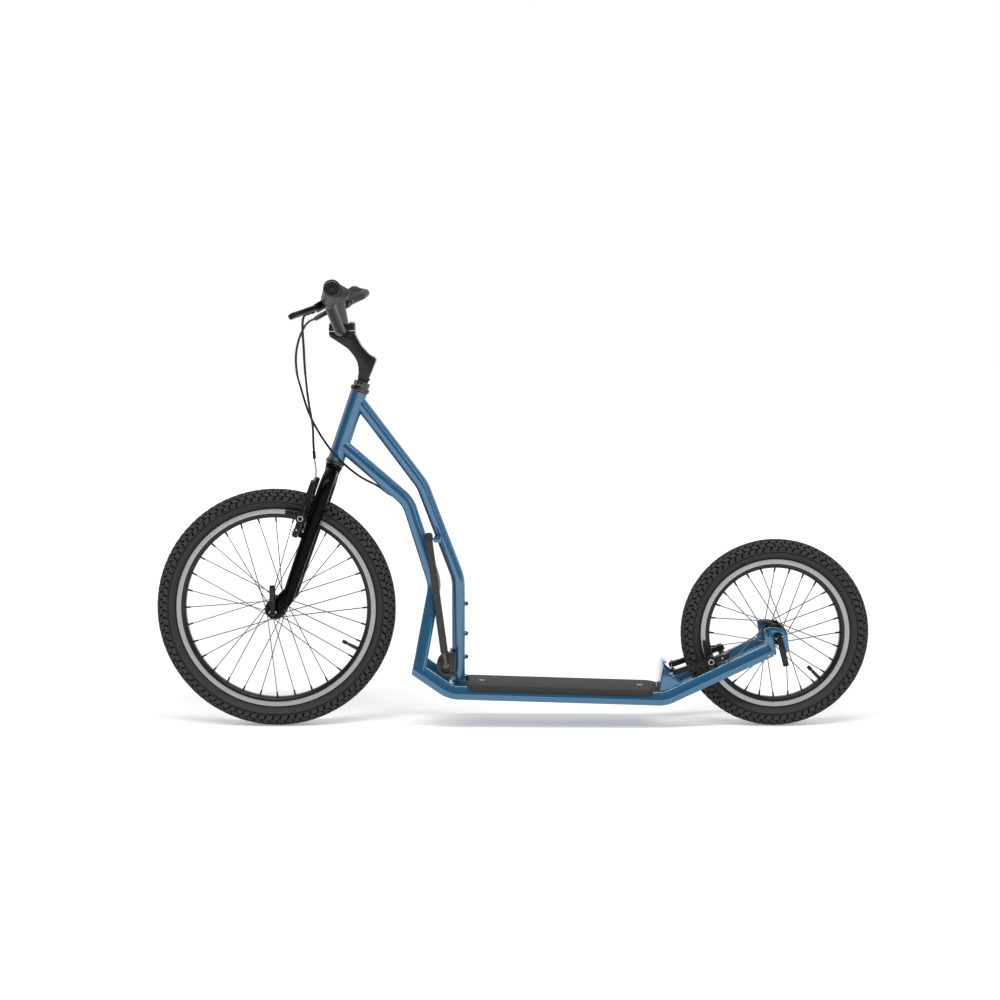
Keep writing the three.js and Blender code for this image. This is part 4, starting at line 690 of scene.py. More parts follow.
def make_side_tubes():
    rail = bent(RAIL_PATH, 60, 10)
    knee, foot = Vector((-166, 22, 303)), Vector((-198.2, RAIL_Y, 127.8))
    lean = math.atan2(knee.x - foot.x, knee.z - foot.z)
    normal = Vector((math.cos(lean), 0, -math.sin(lean)))
    down = bent([(-358, 9.4, 596.4), (-222, 12, 478.3), knee, foot], 70, 14)
    oval = [(8.75 * x, 13.5 * y) for x, y in circle(1, 40)]
    way = (RAIL_PATH[3] - RAIL_PATH[2]).normalized()
    plug = rounded([(x * 0.82, y * 0.82) for x, y in RAIL_SECTION], 1.2, 3)
    for name, flip in SIDES:
        piece = Piece(f"side_rail_{name}_rolled")
        piece.sweep(rail, rounded(RAIL_SECTION, 1.6, 3), PAINT, side=(0, 1, 0), matrix=flip,
                    start_plane=(foot - normal * 13.5, normal))
        add_boss(piece, flip @ rear_boss() @ moved(0, -BOSS_Y, 0), PAINT)
        piece.sweep([RAIL_PATH[3] - way * 2, RAIL_PATH[3] + way * 0.25], plug, BLACK_SATIN, side=(0, 1, 0),
                    matrix=flip)
        piece.ball((536, 66.2, 161.6), 2.6, STEEL, flip, 0.5, 16)
        piece.finish("root", f"side_rail_{name}", slot="frame_paint")
        piece = Piece(f"down_tube_{name}_oval")
        piece.sweep(down, oval, PAINT, side=(0, 1, 0), matrix=flip)
        piece.finish("root", f"down_tube_{name}", slot="frame_paint")


def make_dropouts():
    for name, flip in SIDES:
        piece = Piece(f"dropout_{name}_cut")
        place = flip @ moved(REAR_X, RAIL_Y - 0.5, REAR_R)
        piece.plate(rounded(DROPOUT, 2.5, 3), 5, PAINT, 0.9, place)
        for x, z in ((-22, 12), (-21, 1)):
            piece.rod((x, 2.2, z), (x, 3, z), 2.2, BLACK_SATIN, 16, 0.2, matrix=place)
        piece.finish("root", f"dropout_{name}", slot="frame_paint")


# Deck. X runs back from the deck's front end, and Z is above the rails' middle
MAT_START, MAT_LENGTH, MAT_TOP = 13.6, 423, 17.4
MAT_EDGE = [(-66.4, -11), (-65.9, -8.6), (-63.4, -2.4), (-61.2, -0.4), (-58.6, 0)]
MAT_UNDERSIDE = [(63.8, -11), (60.9, -3.4), (0, -2.6), (-60.9, -3.4), (-63.8, -11)]
NOTCH_REACH, NOTCH_RADIUS = 22.1, 15.5
DECK_SCREWS = (("deck_screw_front", 65.6), ("deck_screw_rear", 401.93))
SHEET = 3


def cut_away(thing, cutter):
    """Takes the cutter's shape out of a piece and deletes the cutter."""
    change = thing.modifiers.new("cut", "BOOLEAN")
    change.operation = "DIFFERENCE"
    change.solver = "EXACT"
    change.object = cutter
    data = bpy.data.meshes.new_from_object(thing.evaluated_get(bpy.context.evaluated_depsgraph_get()))
    thing.modifiers.clear()
    thing.data = data
    bpy.data.objects.remove(cutter)


def make_mat():
    """The mat narrows towards both ends and has a notch round the upright."""
    piece = Piece("deck_mat_moulded")
    section = MAT_EDGE + [(0, 0.15)] + [(-y, z) for y, z in reversed(MAT_EDGE)] + MAT_UNDERSIDE
    steps = 60
    verts = []
    for i in range(steps + 1):
        along = MAT_LENGTH * i / steps
        front, rear = max(0.0, 1 - along / 32), max(0.0, 1 - (MAT_LENGTH - along) / 19)
        shrink = 1 - 0.39 * front ** 1.6 - 0.2 * rear ** 1.6
        verts += [(MAT_START + along, y * shrink, MAT_TOP + z) for y, z in section]
    piece.add(verts, skin(steps + 1, len(section), caps=True), MAT, DECK)
    mat = piece.finish("root", "deck_mat", slot="rubber")
    notch = Piece("notch_cutter")
    outline = [(-10, -NOTCH_RADIUS)] + arc((NOTCH_REACH, 0), NOTCH_RADIUS, -math.pi / 2, math.pi / 2, 24)
    notch.plate(outline + [(-10, NOTCH_RADIUS)], 60, MAT, 0, DECK @ turned(90, "X"))
    cut_away(mat, notch.finish(None))


def make_deck():
    make_mat()
    head = [(0, -0.2), (2.2, -0.2), (2.2, 0.5), (4.6, 0.6), (6, 0.1), (6, -1), (0, -6)]
    for node, x in DECK_SCREWS:
        piece = Piece(f"{node}_countersunk")
        piece.lathe(head, STEEL, 28, DECK @ moved(x, 0, MAT_TOP + 0.1) @ turned(90, "X"))
        piece.finish("root", node, slot="steel")
    piece = Piece("deck_plate_flanged")
    piece.box((446, 99, SHEET), (219.6, 0, 12.7), PAINT, 0.8, DECK)
    piece.finish("root", "deck_plate", slot="frame_paint")


def make_heel_bracket():
    """A sheet that stands up behind the mat, folded back at its top, between two side webs."""
    piece = Piece("heel_bracket_folded")
    x, foot = 438.6, 14.8
    high, shoulder, lean, tab = 58, 50, 8, 9
    half, top_half = 56, 24
    top, crest, top_x = foot + shoulder, foot + high, x + lean * shoulder / high
    outside = [(x, foot, half), (top_x, top, half), (x + lean, crest, top_half),
               (x + lean + tab, crest, top_half)]
    inside = [(x + SHEET, foot, half), (top_x + SHEET, top, half),
              (x + lean + SHEET, crest - SHEET, top_half), (x + lean + tab, crest - SHEET, top_half)]
    verts = []
    for (ax, az, aw), (bx, bz, bw) in zip(outside, inside):
        verts += [(ax, -aw, az), (ax, aw, az), (bx, bw, bz), (bx, -bw, bz)]
    piece.add(verts, skin(len(outside), 4, caps=True), PAINT, DECK, 0.8)
    web = [(x, foot), (x + 58, foot - 6), (x + 58, foot + 15), (x + 27, foot + 34), (top_x + 3, top),
           (top_x, top)]
    for way in (-1, 1):
        piece.plate(web, SHEET, PAINT, 0.8, DECK, offset=way * 54.5)
    piece.finish("root", "heel_bracket", slot="frame_paint")


# Stem and handlebar. The neck's outline is in shares of the stem's reach and rise
NECK = [(-0.14, 0), (0.15, 0.03), (0.18, 0.59), (-0.09, 0.66), (-0.36, 0.8), (-0.65, 1.06), (-0.98, 0.92),
        (-1.3, 0.76), (-0.91, 0.67), (-0.67, 0.61), (-0.46, 0.49), (-0.31, 0.37), (-0.22, 0.22)]
CLAMP_HALF, CLAMP_WIDTH, CLAMP_BORE, CLAMP_GAP = 26.5, 44, 11.25, 0.4
HIGH_ELBOW, BAR_END = Vector((-16.3, 137, 57)), Vector((4.4, 287, 83))
BAR_AXIS = (BAR_END - HIGH_ELBOW).normalized()
GRIP_AT, LEVER_AT = 180, 164
WING_DROPS = {"right": 8, "left": -12}
LEVER_DROP = 32
BARREL_Y, BARREL_REACH = -15, 44.25


def add_clamp_half(piece, outline, way):
    """Half of the clamp round the bar; way is 1 above the bar and -1 below it."""
    bore = [(x, way * (CLAMP_GAP + z)) for x, z in arc((0, 0), CLAMP_BORE, 0, math.pi, 16)]
    piece.plate(outline + bore[::-way], CLAMP_WIDTH, BLACK_SATIN, 1.0, CLAMP, limit=40)


def make_stem():
    piece = Piece("stem_forged")
    neck = [(x * STEM_REACH, STEM_BASE + z * STEM_RISE) for x, z in NECK]
    piece.plate(rounded(neck, 4.5, 5), 38, STEM_BLACK, 6, STEER, bevel_steps=3, limit=50)
    quill = [(11.6, 522), (14.5, 524), (12.2, 516), (11, 513), (11, 440), (0, 440)]
    piece.lathe(quill, BLACK_SATIN, 40, STEER_AXIS)
    piece.rod((2, 0, 563), (2, 0, 570.5), 7.4, BLACK_SATIN, 28, 0.9, matrix=STEER, hollow=4.2)
    lower = [(-CLAMP_HALF, -CLAMP_GAP), (-CLAMP_HALF, -8), (-19, -13.2), (19, -13.2), (CLAMP_HALF, -8),
             (CLAMP_HALF, -CLAMP_GAP)]
    add_clamp_half(piece, lower, -1)
    piece.finish("steered", "stem", slot="black_alloy")
    piece = Piece("stem_cap_forged")
    upper = [(CLAMP_HALF, CLAMP_GAP), (CLAMP_HALF, 7.5), (17, 15), (-17, 15), (-CLAMP_HALF, 7.5),
             (-CLAMP_HALF, CLAMP_GAP)]
    add_clamp_half(piece, upper, 1)
    for x in (-20.7, 20.7):
        for y in (-16.2, 16.2):
            piece.rod((x, y, 7), (x, y, 15.4), 5.6, BLACK_SATIN, 24, 0.6, matrix=CLAMP)
            piece.rod((x, y, 14), (x, y, 18.8), 4.4, STEEL, 24, 0.6, matrix=CLAMP, hollow=2.3)
    piece.finish("steered", "stem_clamp_cap", slot="black_alloy")


def bar_end_frame(along, drop):
    """A frame on the outer run of the bar: Y along it, -X forward and down by drop degrees."""
    share = (along - HIGH_ELBOW.y) / (BAR_END.y - HIGH_ELBOW.y)
    forward = Vector((-math.cos(math.radians(drop)), 0, -math.sin(math.radians(drop))))
    rear = -(forward - BAR_AXIS * forward.dot(BAR_AXIS)).normalized()
    place = Matrix.Translation(HIGH_ELBOW.lerp(BAR_END, share))
    return BAR @ place @ basis(rear, BAR_AXIS, rear.cross(BAR_AXIS))


def make_handlebar():
    piece = Piece("handlebar_bent")
    half = [BAR_END, HIGH_ELBOW, Vector((0, 60, 0))]
    path = bent([Vector((c.x, -c.y, c.z)) for c in half] + half[::-1], 42, 14)
    piece.tube(path, 11.1, GREY_ALLOY, 36, BAR)
    for way in (1, -1):
        piece.rod((0, 22.5 * way, 0), (0, 25.5 * way, 0), 11.7, GREY_ALLOY, 36, matrix=BAR)
    piece.finish("steered", "handlebar", slot="grey_alloy")


# Grips. A station is a distance from the grip's inner end and the radius there
GRIP_LENGTH, GRIP_NECK, GRIP_RADIUS = 112.6, 105.4, 16.4
GRIP_LIP = [(0, 15.6), (0.6, 16.6), (1.6, 16.9), (3.2, 16.9), (3.8, 15.4), (5.2, 15.4), (5.8, 16.3)]
GRIP_BODY = [8 + 5.6 * k for k in range(17)] + [99.5, 101.6, 103.2, 104.4, GRIP_NECK]
GRIP_COLLAR = [(15, -8.2), (16.6, -8.2), (17.2, -7.4), (17.2, -5.4), (16.7, -4.8), (17.2, -4.2), (17.2, -1.6),
               (16, -0.2), (14.9, -0.2), (14.4, -0.9)]
GRIP_PLUG = [(14.4, -0.9), (13.9, -0.2), (12.2, 0.3), (11.8, -0.6), (11.2, -0.6), (10.8, 0.3), (4.6, 0.1),
             (3.9, -0.8), (3.4, -4.4), (0, -4.4)]
WING_START, WING_FULL, WING_ROUND = 10, 58, 98
WING_TIP, WING_ROOT, WING_RADIUS = 27, 8, 9
WING_SAMPLES = 44


def smooth_step(low, high, value):
    t = min(max((value - low) / (high - low), 0), 1)
    return t * t * (3 - 2 * t)


def wing_section(radius, tip_at, tip_radius):
    """The outline round a circle and a smaller one beside it."""
    if tip_at <= radius - tip_radius:
        return circle(radius, WING_SAMPLES)
    lean = math.acos((radius - tip_radius) / tip_at)
    small = WING_SAMPLES // 4
    tip = arc((tip_at, 0), tip_radius, -lean, lean, small)
    return tip + arc((0, 0), radius, lean, 2 * math.pi - lean, WING_SAMPLES - small - 2)


def make_grip(name, flip):
    piece = Piece(f"grip_{name}_winged")
    place = flip @ bar_end_frame(GRIP_AT, WING_DROPS[name])
    stations = GRIP_LIP + [(y, GRIP_RADIUS) for y in GRIP_BODY]
    verts = []
    for y, radius in stations:
        grow = smooth_step(WING_START, WING_FULL, y)
        past = max((y - WING_ROUND) / (GRIP_NECK - WING_ROUND), 0)
        shrink = 7 * (1 - math.sqrt(max(1 - past ** 2, 0)))
        tip_radius = max(WING_RADIUS * (0.75 + 0.25 * grow) - shrink, 1.6)
        tip_at = WING_ROOT + (WING_TIP - WING_ROOT) * grow - shrink / 2
        verts += [(x, y, z) for x, z in wing_section(radius, tip_at, tip_radius)]
    piece.add(verts, skin(len(stations), len(verts) // len(stations), caps=True), GRIP, place)
    for profile, mat in ((GRIP_COLLAR, GRIP), (GRIP_PLUG, PLUG)):
        piece.lathe([(r, GRIP_LENGTH + y) for r, y in profile], mat, 56, place)
    for y in range(22, 99, 11):
        reach = 17 + 19 * smooth_step(WING_START, WING_FULL, y)
        rib = [(-13.8, 9.5), (-9, 14.2), (0, 16.9), (9, 14.9), (max(reach - 12, 14), 11)]
        piece.tube(smooth_path([(x, y, z) for x, z in rib], 5), 0.7, GRIP, 6, place)
    piece.finish("steered", f"grip_{name}", slot="rubber")


# Brake levers
LEVER_BODY = [(-9, -22), (-9, 7), (-21, 8), (-33, 5), (-33, -10), (-31, -22), (-22, -24)]
LEVER_WEB = [(-9, -22), (-9, -6), (-20, -8), (-31, -12), (-31, -22), (-22, -24)]
LEVER_BARREL = [(0, 29), (3.4, 29), (3.4, 33.2), (4.9, 33.6), (5.2, 34.4), (5.2, 35.6), (4.7, 36.1),
                (4.7, 36.6), (5.2, 37), (5.2, 41.4), (4.6, 42), (3.4, 42.4), (3.3, 44.2), (0, 44.2)]
LEVER_BLADE = [(-6, -6), (5.6, -6), (6.4, 2), (6.2, 14), (7.4, 26), (7.2, 78), (8.6, 93), (9.8, 98),
               (7.4, 104.6), (-3.6, 104.8), (-7.2, 98), (-6.9, 84), (-7.4, 26), (-6.6, 12), (-6.4, 4)]
LEVER_PIVOT_X, BLADE_ANGLE = -27, 40


def make_lever(name, flip):
    place = flip @ bar_end_frame(LEVER_AT, LEVER_DROP)
    flat = place @ SWAP_YZ
    piece = Piece(f"lever_body_{name}_cast")
    ring = [(11.4, -7.5), (14.4, -7.5), (15, -6.8), (15, 6.8), (14.4, 7.5), (11.4, 7.5)]
    piece.lathe(ring, BLACK_SATIN, 44, place, closed=True)
    for low in (6.4, -6.4):
        piece.plate(rounded(LEVER_BODY, 4, 4), 2, BLACK_SATIN, 1.4, flat, offset=low, bevel_steps=3)
    piece.plate(rounded(LEVER_WEB, 3, 3), 12.4, BLACK_SATIN, 0.8, flat)
    low, high = ((LEVER_PIVOT_X, 0, z) for z in (-7.2, 7.2))
    piece.rod(low, high, 4.2, STEEL, 24, 0.6, matrix=place, hollow=2.2)
    piece.rod((12, 0, -8.6), (12, 0, 9.2), 3.6, BLACK_SATIN, 24, 0.5, matrix=place, hollow=1.9)
    for z in (3.4, -3.4):
        piece.box((9, 13, 3.2), (12.5, 0, z), BLACK_SATIN, 0.8, place)
    piece.lathe(LEVER_BARREL, BLACK_ALLOY, 18, place @ moved(0, BARREL_Y, 0) @ turned(90, "Z"))
    piece.finish("steered", f"brake_lever_body_{name}", slot="black_alloy")

    piece = Piece(f"lever_blade_{name}_forged")
    hinge = place @ moved(LEVER_PIVOT_X, 0, 0) @ turned(BLADE_ANGLE, "Z") @ SWAP_YZ
    piece.plate(rounded(LEVER_BLADE, 4, 4), 10.2, BLACK_ALLOY, 2.6, hinge, bevel_steps=3, limit=40)
    for side in (-5.15, 5.15):
        for low, high in ((20, 54), (59, 88)):
            inlay = rounded([(-3.6, low), (3.8, low), (3.8, high), (-3.6, high)], 3.4, 5)
            piece.plate(inlay, 0.5, RUBBER, 0.1, hinge, offset=side)
    piece.finish(f"{name}_lever", f"brake_lever_blade_{name}", slot="black_alloy")


# Brakes. In a brake's frame Z runs from the pivots to the arms' free ends, and -X along the studs
BRAKE_OUT = -21.3
FRONT_BRAKE = STEER @ moved(BRAKE_OUT, 0, FRONT_BOSS_RISE)
REAR_BRAKE = rear_boss() @ moved(BRAKE_OUT, 0, 0)
ARM = [(44, -6), (47, -9.2), (57, -9.2), (60.6, -5), (61, 5), (59.5, 18), (59.8, 40), (56, 62), (52.6, 84),
       (51, 110), (48, 116), (42, 116), (39, 110), (40.4, 84), (42.5, 62), (42, 44), (40.6, 33), (42, 20),
       (43.2, 6)]
ARM_GROOVE = [(46.5, 40), (55, 40), (51.5, 66), (48.4, 92), (44.6, 92), (46, 66)]
ARM_SPRING = [(-0.8, 60.5, -7), (-0.6, 62.6, 4), (-1.4, 62, 24), (-2.4, 60.4, 44), (-4, 57.6, 58),
              (-6, 55, 62)]
BRAKE_WIRE = [(-6, -38, 112.4), (-7.5, 6, 112.2), (-9, 36, 110), (-11.6, 47, 106), (-11.4, 50, 92),
              (-10.8, 50.5, 82)]
NOODLE_TOP, NOODLE_LEAD = 116.4, 130
PAD_X, PAD_Z, PAD_MIDDLE_X, PAD_HALF_LENGTH = -6, 33, -18, 26

# The washers and nuts on a pad's post: from, to, radius and material
PAD_RINGS = ((23.6, 26.6, 7.6, BLACK_ALLOY), (26.6, 31, 6.6, BLACK_ALLOY), (31, 34.4, 7.8, BLACK_SATIN),
             (34.4, 39.2, 6.4, BLACK_ALLOY), (58.6, 60.2, 7.8, BLACK_ALLOY))


def add_noodle_holder(piece, place):
    piece.box((7, 9, 6.5), (-6, 44, 112.6), GUNMETAL, 1.2, place)
    piece.rod((-6, 45, 109.5), (-6, 45, 116.2), 3.2, GUNMETAL, 20, 0.5, matrix=place)


def add_wire_and_bellows(piece, place):
    piece.rod((-3, 46, 108), (-15, 46, 108), 3, STEEL, 18, matrix=place, hollow=1.8)
    piece.rod((-11.9, 46, 108), (-13.2, 46, 108), 5.4, STEEL, 24, 0.3, matrix=place)
    piece.tube(smooth_path(BRAKE_WIRE, 6), 0.8, STEEL, 8, place)
    bellows = [(1.4, -25)]
    for k in range(8):
        bellows += [(4.4 - k * 0.12, -24 + k * 3), (2.9, -22.5 + k * 3)]
    piece.lathe(bellows + [(1.4, -0.4)], RUBBER, 20, place @ moved(-6.6, 0, 112.3))


def make_brake_arm(end, name, place):
    piece = Piece(f"{end}_brake_arm_{name}_forged")
    across = place @ SWAP_XY
    piece.plate(rounded(ARM, 4, 4), 11.2, BLACK_SATIN, 2.4, across, offset=-6.2, bevel_steps=3, limit=35)
    piece.plate(rounded(ARM_GROOVE, 3, 3), 0.6, BLACK_ALLOY, 0.2, across, offset=-11.9)
    piece.rod((-10, BOSS_Y, 0), (-14.4, BOSS_Y, 0), 6.6, STEEL, 28, 0.7, matrix=place, hollow=4.9)
    piece.rod((-10, BOSS_Y, 0), (-13.2, BOSS_Y, 0), 4.7, BLACK_ALLOY, 28, matrix=place, hollow=2.4)
    piece.rod((-1.2, BOSS_Y, 0), (-10.5, BOSS_Y, 0), 8.6, BLACK_SATIN, 28, 0.6, matrix=place)
    piece.tube(smooth_path(ARM_SPRING, 6), 0.95, GUNMETAL, 8, place)
    coil = [(-1.4 - 0.06 * k, BOSS_Y + y, z) for k, (y, z) in enumerate(arc((0, 0), 9.6, 0, 2 * math.pi, 24))]
    piece.tube(coil, 0.95, GUNMETAL, 8, place)
    piece.rod((-6, 60.5, 8), (-6, 64, 8), 2.2, STEEL, 16, 0.3, matrix=place, hollow=1.1)
    if name == "left":
        add_noodle_holder(piece, place)
    else:
        add_wire_and_bellows(piece, place)
    piece.finish(f"{end}_{name}_arm", f"{end}_brake_arm_{name}", slot="black_alloy")


def make_brake_pad(end, name, place, axle, radius):
    """A pad that follows the rim, whose middle lies at the axle's X and Z in the brake's frame."""
    piece = Piece(f"{end}_brake_pad_{name}_shaped")
    middle = math.atan2(PAD_Z - axle[1], PAD_MIDDLE_X - axle[0])
    reach = PAD_HALF_LENGTH / radius

    def band(half_height, start, stop, steps):
        angles = middle + start * reach, middle + stop * reach
        inner = arc(axle, radius - half_height, *angles, steps)
        return inner + arc(axle, radius + half_height, *angles, steps)[::-1]

    end_share = 1 - 0.02 / reach
    piece.plate(band(4.8, -1, 1, 12), 6.4, PAD, 1.1, place, offset=17.9, limit=35)
    for start, stop in ((-0.92, -0.34), (-0.28, 0.28), (0.34, 0.92)):
        piece.plate(band(4, start, stop, 4), 1.2, PAD, 0.3, place, offset=15.1, limit=35)
    piece.plate(band(3.4, -end_share, end_share, 10), 2.6, BLACK_SATIN, 0.7, place, offset=22.1, limit=35)

    def post(start, stop, radius, mat, sides=28, chamfer=0.5, hollow=0.0):
        piece.rod((PAD_X, start, PAD_Z), (PAD_X, stop, PAD_Z), radius, mat, sides, chamfer, matrix=place,
                  hollow=hollow)

    post(20, 62, 3, GUNMETAL, 20, 0.4)
    for ring in PAD_RINGS:
        post(*ring)
    nut = [(PAD_X + x, PAD_Z + z) for x, z in circle(6.9, 6)]
    piece.plate(nut, 3, BLACK_ALLOY, 0.7, place, offset=61.7)
    post(60.4, 65.6, 6.4, STEEL, 32, 0.8, 4.3)
    post(60.4, 65.2, 4.2, BLACK_ALLOY, 24, 0.3, 2.2)
    post(40, 58.4, 11.5, BLACK_SATIN, 32, 1.4)
    piece.finish(f"{end}_{name}_arm", f"{end}_brake_pad_{name}", slot="rubber")


# Each brake side: its frame, the way its Y points, the axle from the brake and the pads' radius
BRAKE_SIDES = (("front", "right", FRONT_BRAKE, 1, (2.6, -FRONT_BOSS_RISE), 204.9),
               ("front", "left", FRONT_BRAKE, -1, (2.6, -FRONT_BOSS_RISE), 204.9),
               ("rear", "left", REAR_BRAKE, 1, (-11.2, -117.3), 150.6),
               ("rear", "right", REAR_BRAKE, -1, (-11.2, -117.3), 150.6))


def make_brakes():
    for end, name, brake, side, axle, radius in BRAKE_SIDES:
        place = brake if side > 0 else brake @ FLIP
        make_brake_arm(end, name, place)
        make_brake_pad(end, name, place, axle, radius)


# Side stand
STAND_PIVOT, STAND_END = Vector((-141, -43.5, 133)), Vector((-179, -43.5, 416))
DISC_MIDDLE, DISC_RADIUS, DISC_FLAT_X = (-136, 139), 25, -130.7
EAR_EDGE_X, EAR_HOLLOW, EAR_START = -121, 12.2, 143.5
FOOT_CAP = [(8.1, -16), (9, -16), (9.5, -15), (9.5, -11), (9.2, -10.6), (9.2, -9.8), (9.5, -9.4), (9.5, -5),
            (8.8, -2), (6.8, -0.2), (3.6, 1.1), (0, 1.4)]


def make_stand_leg(place, length):
    piece = Piece("stand_leg_tapered")
    parts = ((30, length, 7.9, GREY_ALLOY, 1.2), (0, 33, 6.5, LEG_METAL, 0.6),
             (29.5, 32, 7.4, LEG_METAL, 0.8))
    for start, stop, radius, mat, chamfer in parts:
        piece.rod((0, 0, start), (0, 0, stop), radius, mat, 32, chamfer, matrix=place)
    piece.rod((-6.3, 0, 0), (6.3, 0, 0), 6.5, LEG_METAL, 28, 0.5, matrix=place)
    piece.finish("stand", "stand_leg", slot="grey_alloy")
    piece = Piece("stand_foot_cap")
    piece.lathe([(r, length + z) for r, z in FOOT_CAP], RUBBER, 32, place @ turned(90, "X"))
    piece.finish("stand", "stand_foot", slot="rubber")


def make_stand():
    run = STAND_END - STAND_PIVOT
    lean = math.atan2(run.x, run.z)
    make_stand_leg(Matrix.Translation(STAND_PIVOT) @ Matrix.Rotation(lean, 4, "Y"), run.length)
    piece = Piece("stand_bracket_cast")
    flat = math.acos((DISC_FLAT_X - DISC_MIDDLE[0]) / DISC_RADIUS)
    disc = arc(DISC_MIDDLE, DISC_RADIUS, flat, 2 * math.pi - flat, 48)
    piece.plate(disc, 16.4, GREY_ALLOY, 1.6, offset=-39.4, bevel_steps=3, limit=40)
    # The ear is hollowed round the leg's hinge and reaches to the upright
    hinge = Vector((STAND_PIVOT.x, STAND_PIVOT.z))
    along, across = Vector((math.sin(lean), math.cos(lean))), Vector((-math.cos(lean), math.sin(lean)))
    ear = arc(DISC_MIDDLE, DISC_RADIUS, math.radians(EAR_START), math.radians(270), 26)
    ear += [(EAR_EDGE_X, DISC_MIDDLE[1] - DISC_RADIUS), (EAR_EDGE_X, DISC_MIDDLE[1] + DISC_RADIUS),
            tuple(hinge - across * EAR_HOLLOW + along * 29.7)]
    ear += [tuple(hinge - across * x + along * z) for x, z in arc((0, 0), EAR_HOLLOW, 0, -math.pi, 18)]
    piece.plate(ear, 8.6, GREY_ALLOY, 0.8, offset=-51.8, limit=40)
    screw = Vector((DISC_MIDDLE[0] + 9, -54, DISC_MIDDLE[1] - 17))
    piece.rod(screw, screw - Vector((0, 3, 0)), 3, BLACK_ALLOY, 20, 0.5, hollow=1.7)
    piece.rod(STAND_PIVOT - Vector((14, 0, 0)), STAND_PIVOT + Vector((13, 0, 0)), 3.5, STEEL, 20, 0.5)
    for side in (-11.6, 11.2):
        piece.box((3, 22, 24), STAND_PIVOT + Vector((side, -1.1, 1)), GREY_ALLOY)
    piece.box((3.8, 70, 50), (-132.2, -21, DISC_MIDDLE[1]), GREY_ALLOY, 1.4)
    piece.finish("root", "stand_bracket", slot="grey_alloy")


# Cables. The points of each route are listed, as in the solids
CABLE_RADIUS, FERRULE_RADIUS, WIRE_RADIUS = 2.5, 3.3, 1.9
FRONT_ROUTE = [(-425, -138, 795), (-426, -92, 735), (-424, -62, 690), (-418, -45, 640), (-417, -41, 601),
               (-415, -43, 572)]
REAR_ROUTE = [
    (-442, 115, 856), (-454, 62, 826), (-458, 18, 788), (-453, -12, 749), (-444, -26, 720), (-423, -36, 659),
    (-384, -38, 594), (-354, -36, 561), (-319, -26, 532), (-285, -8, 512), (-262, 0, 494), (-243, 0, 484),
    (-224, 0, 466), (-208, 0, 434), (-189, 0, 378), (-173, 0, 322), (-171, 0, 290), (-182, 0, 220),
    (-192, -10, 165), (-183, -26, 125), (-160, -30, 99), (-136, -24, 82), (-110, -18, 75), (-40, -14, 70),
    (120, -12, 65), (262, -14, 60), (298, -18, 65), (316, -30, 82), (320, -41, 102)]
REAR_SPLIT = Vector((-40, -14, 70))


def housing_path(flip, route, per_span):
    """The line of a housing from the lever's barrel, which it leaves straight, along its route."""
    barrel = flip @ bar_end_frame(LEVER_AT, LEVER_DROP)
    start, lead = (barrel @ Vector((-BARREL_REACH - out, BARREL_Y, 0)) for out in (0.2, 14))
    return smooth_path([start, lead, *route], per_span)


def make_housing(name, path):
    piece = Piece(name)
    piece.tube(path, CABLE_RADIUS, CABLE, 14)
    return piece.finish(None, slot="cable_cover")


def add_ferrule(piece, path, length):
    """A ferrule round the first part of a path."""
    points, run = [path[0]], 0.0
    for point in path[1:]:
        if run >= length:
            break
        run += (point - points[-1]).length
        points.append(point)
    piece.tube(points, FERRULE_RADIUS, BLACK_SATIN, 16)


def add_noodle(piece, path, brake, side):
    """The bent pipe from the housing's end to its holder; gives its lower end."""
    lead, end = (brake @ Vector((PAD_X, side * 45, z)) for z in (NOODLE_LEAD, NOODLE_TOP))
    piece.tube(smooth_path([path[-1], lead, end], 10), WIRE_RADIUS, STEEL, 12)
    return end


def follow(things, node):
    for thing in things:
        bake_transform(thing)
        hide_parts(node)


def make_front_cable():
    path = housing_path(FLIP, FRONT_ROUTE, 9)
    housing = make_housing("front_cable_housing", path)
    piece = Piece("front_cable_ends")
    add_ferrule(piece, path, 7)
    add_ferrule(piece, path[::-1], 14)
    end = add_noodle(piece, path, FRONT_BRAKE, -1)
    ends = piece.finish(None, slot="steel")
    follow((housing, ends), "front_brake_cable")


def make_rear_cable():
    whole = housing_path(HERE, REAR_ROUTE, 8)
    split = min(range(len(whole)), key=lambda k: (whole[k] - REAR_SPLIT).length)
    path = whole[:split + 1]
    housing = make_housing("rear_cable_upper_housing", path)
    piece = Piece("rear_cable_ferrule")
    add_ferrule(piece, path, 7)
    ends = piece.finish("steered", "rear_brake_cable", slot="cable_cover")
    follow([housing], "rear_brake_cable")

    path = whole[split:]
    housing = make_housing("rear_cable_lower_housing", path)
    piece = Piece("rear_cable_ends")
    add_ferrule(piece, path[::-1], 13)
    end = add_noodle(piece, path, REAR_BRAKE, 1)
    ends = piece.finish(None, slot="steel")
    follow((housing, ends), "rear_brake_cable")


make_wheels()
make_fork()
make_headset()
make_head_tube()
make_top_tube()
make_side_tubes()
make_dropouts()
make_deck()
make_heel_bracket()
make_stem()
make_handlebar()
for side_name, side_flip in SIDES:
    make_grip(side_name, side_flip)
    make_lever(side_name, side_flip)
make_brakes()
make_stand()
make_front_cable()
make_rear_cable()

# Solids that keep their shape and only get a material
KEPT_NODES = ((STEEL, ("front_axle", "rear_axle", "stem_wedge_bolt")),
              (GUNMETAL, ("front_hub_bearing_left", "front_hub_bearing_right", "rear_hub_bearing_left",
                          "rear_hub_bearing_right", "headset_lower_bearing", "headset_upper_bearing")))
for kept_material, names in KEPT_NODES:
    for name in names:
        for material_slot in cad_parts[name].material_slots:
            material_slot.material = kept_material

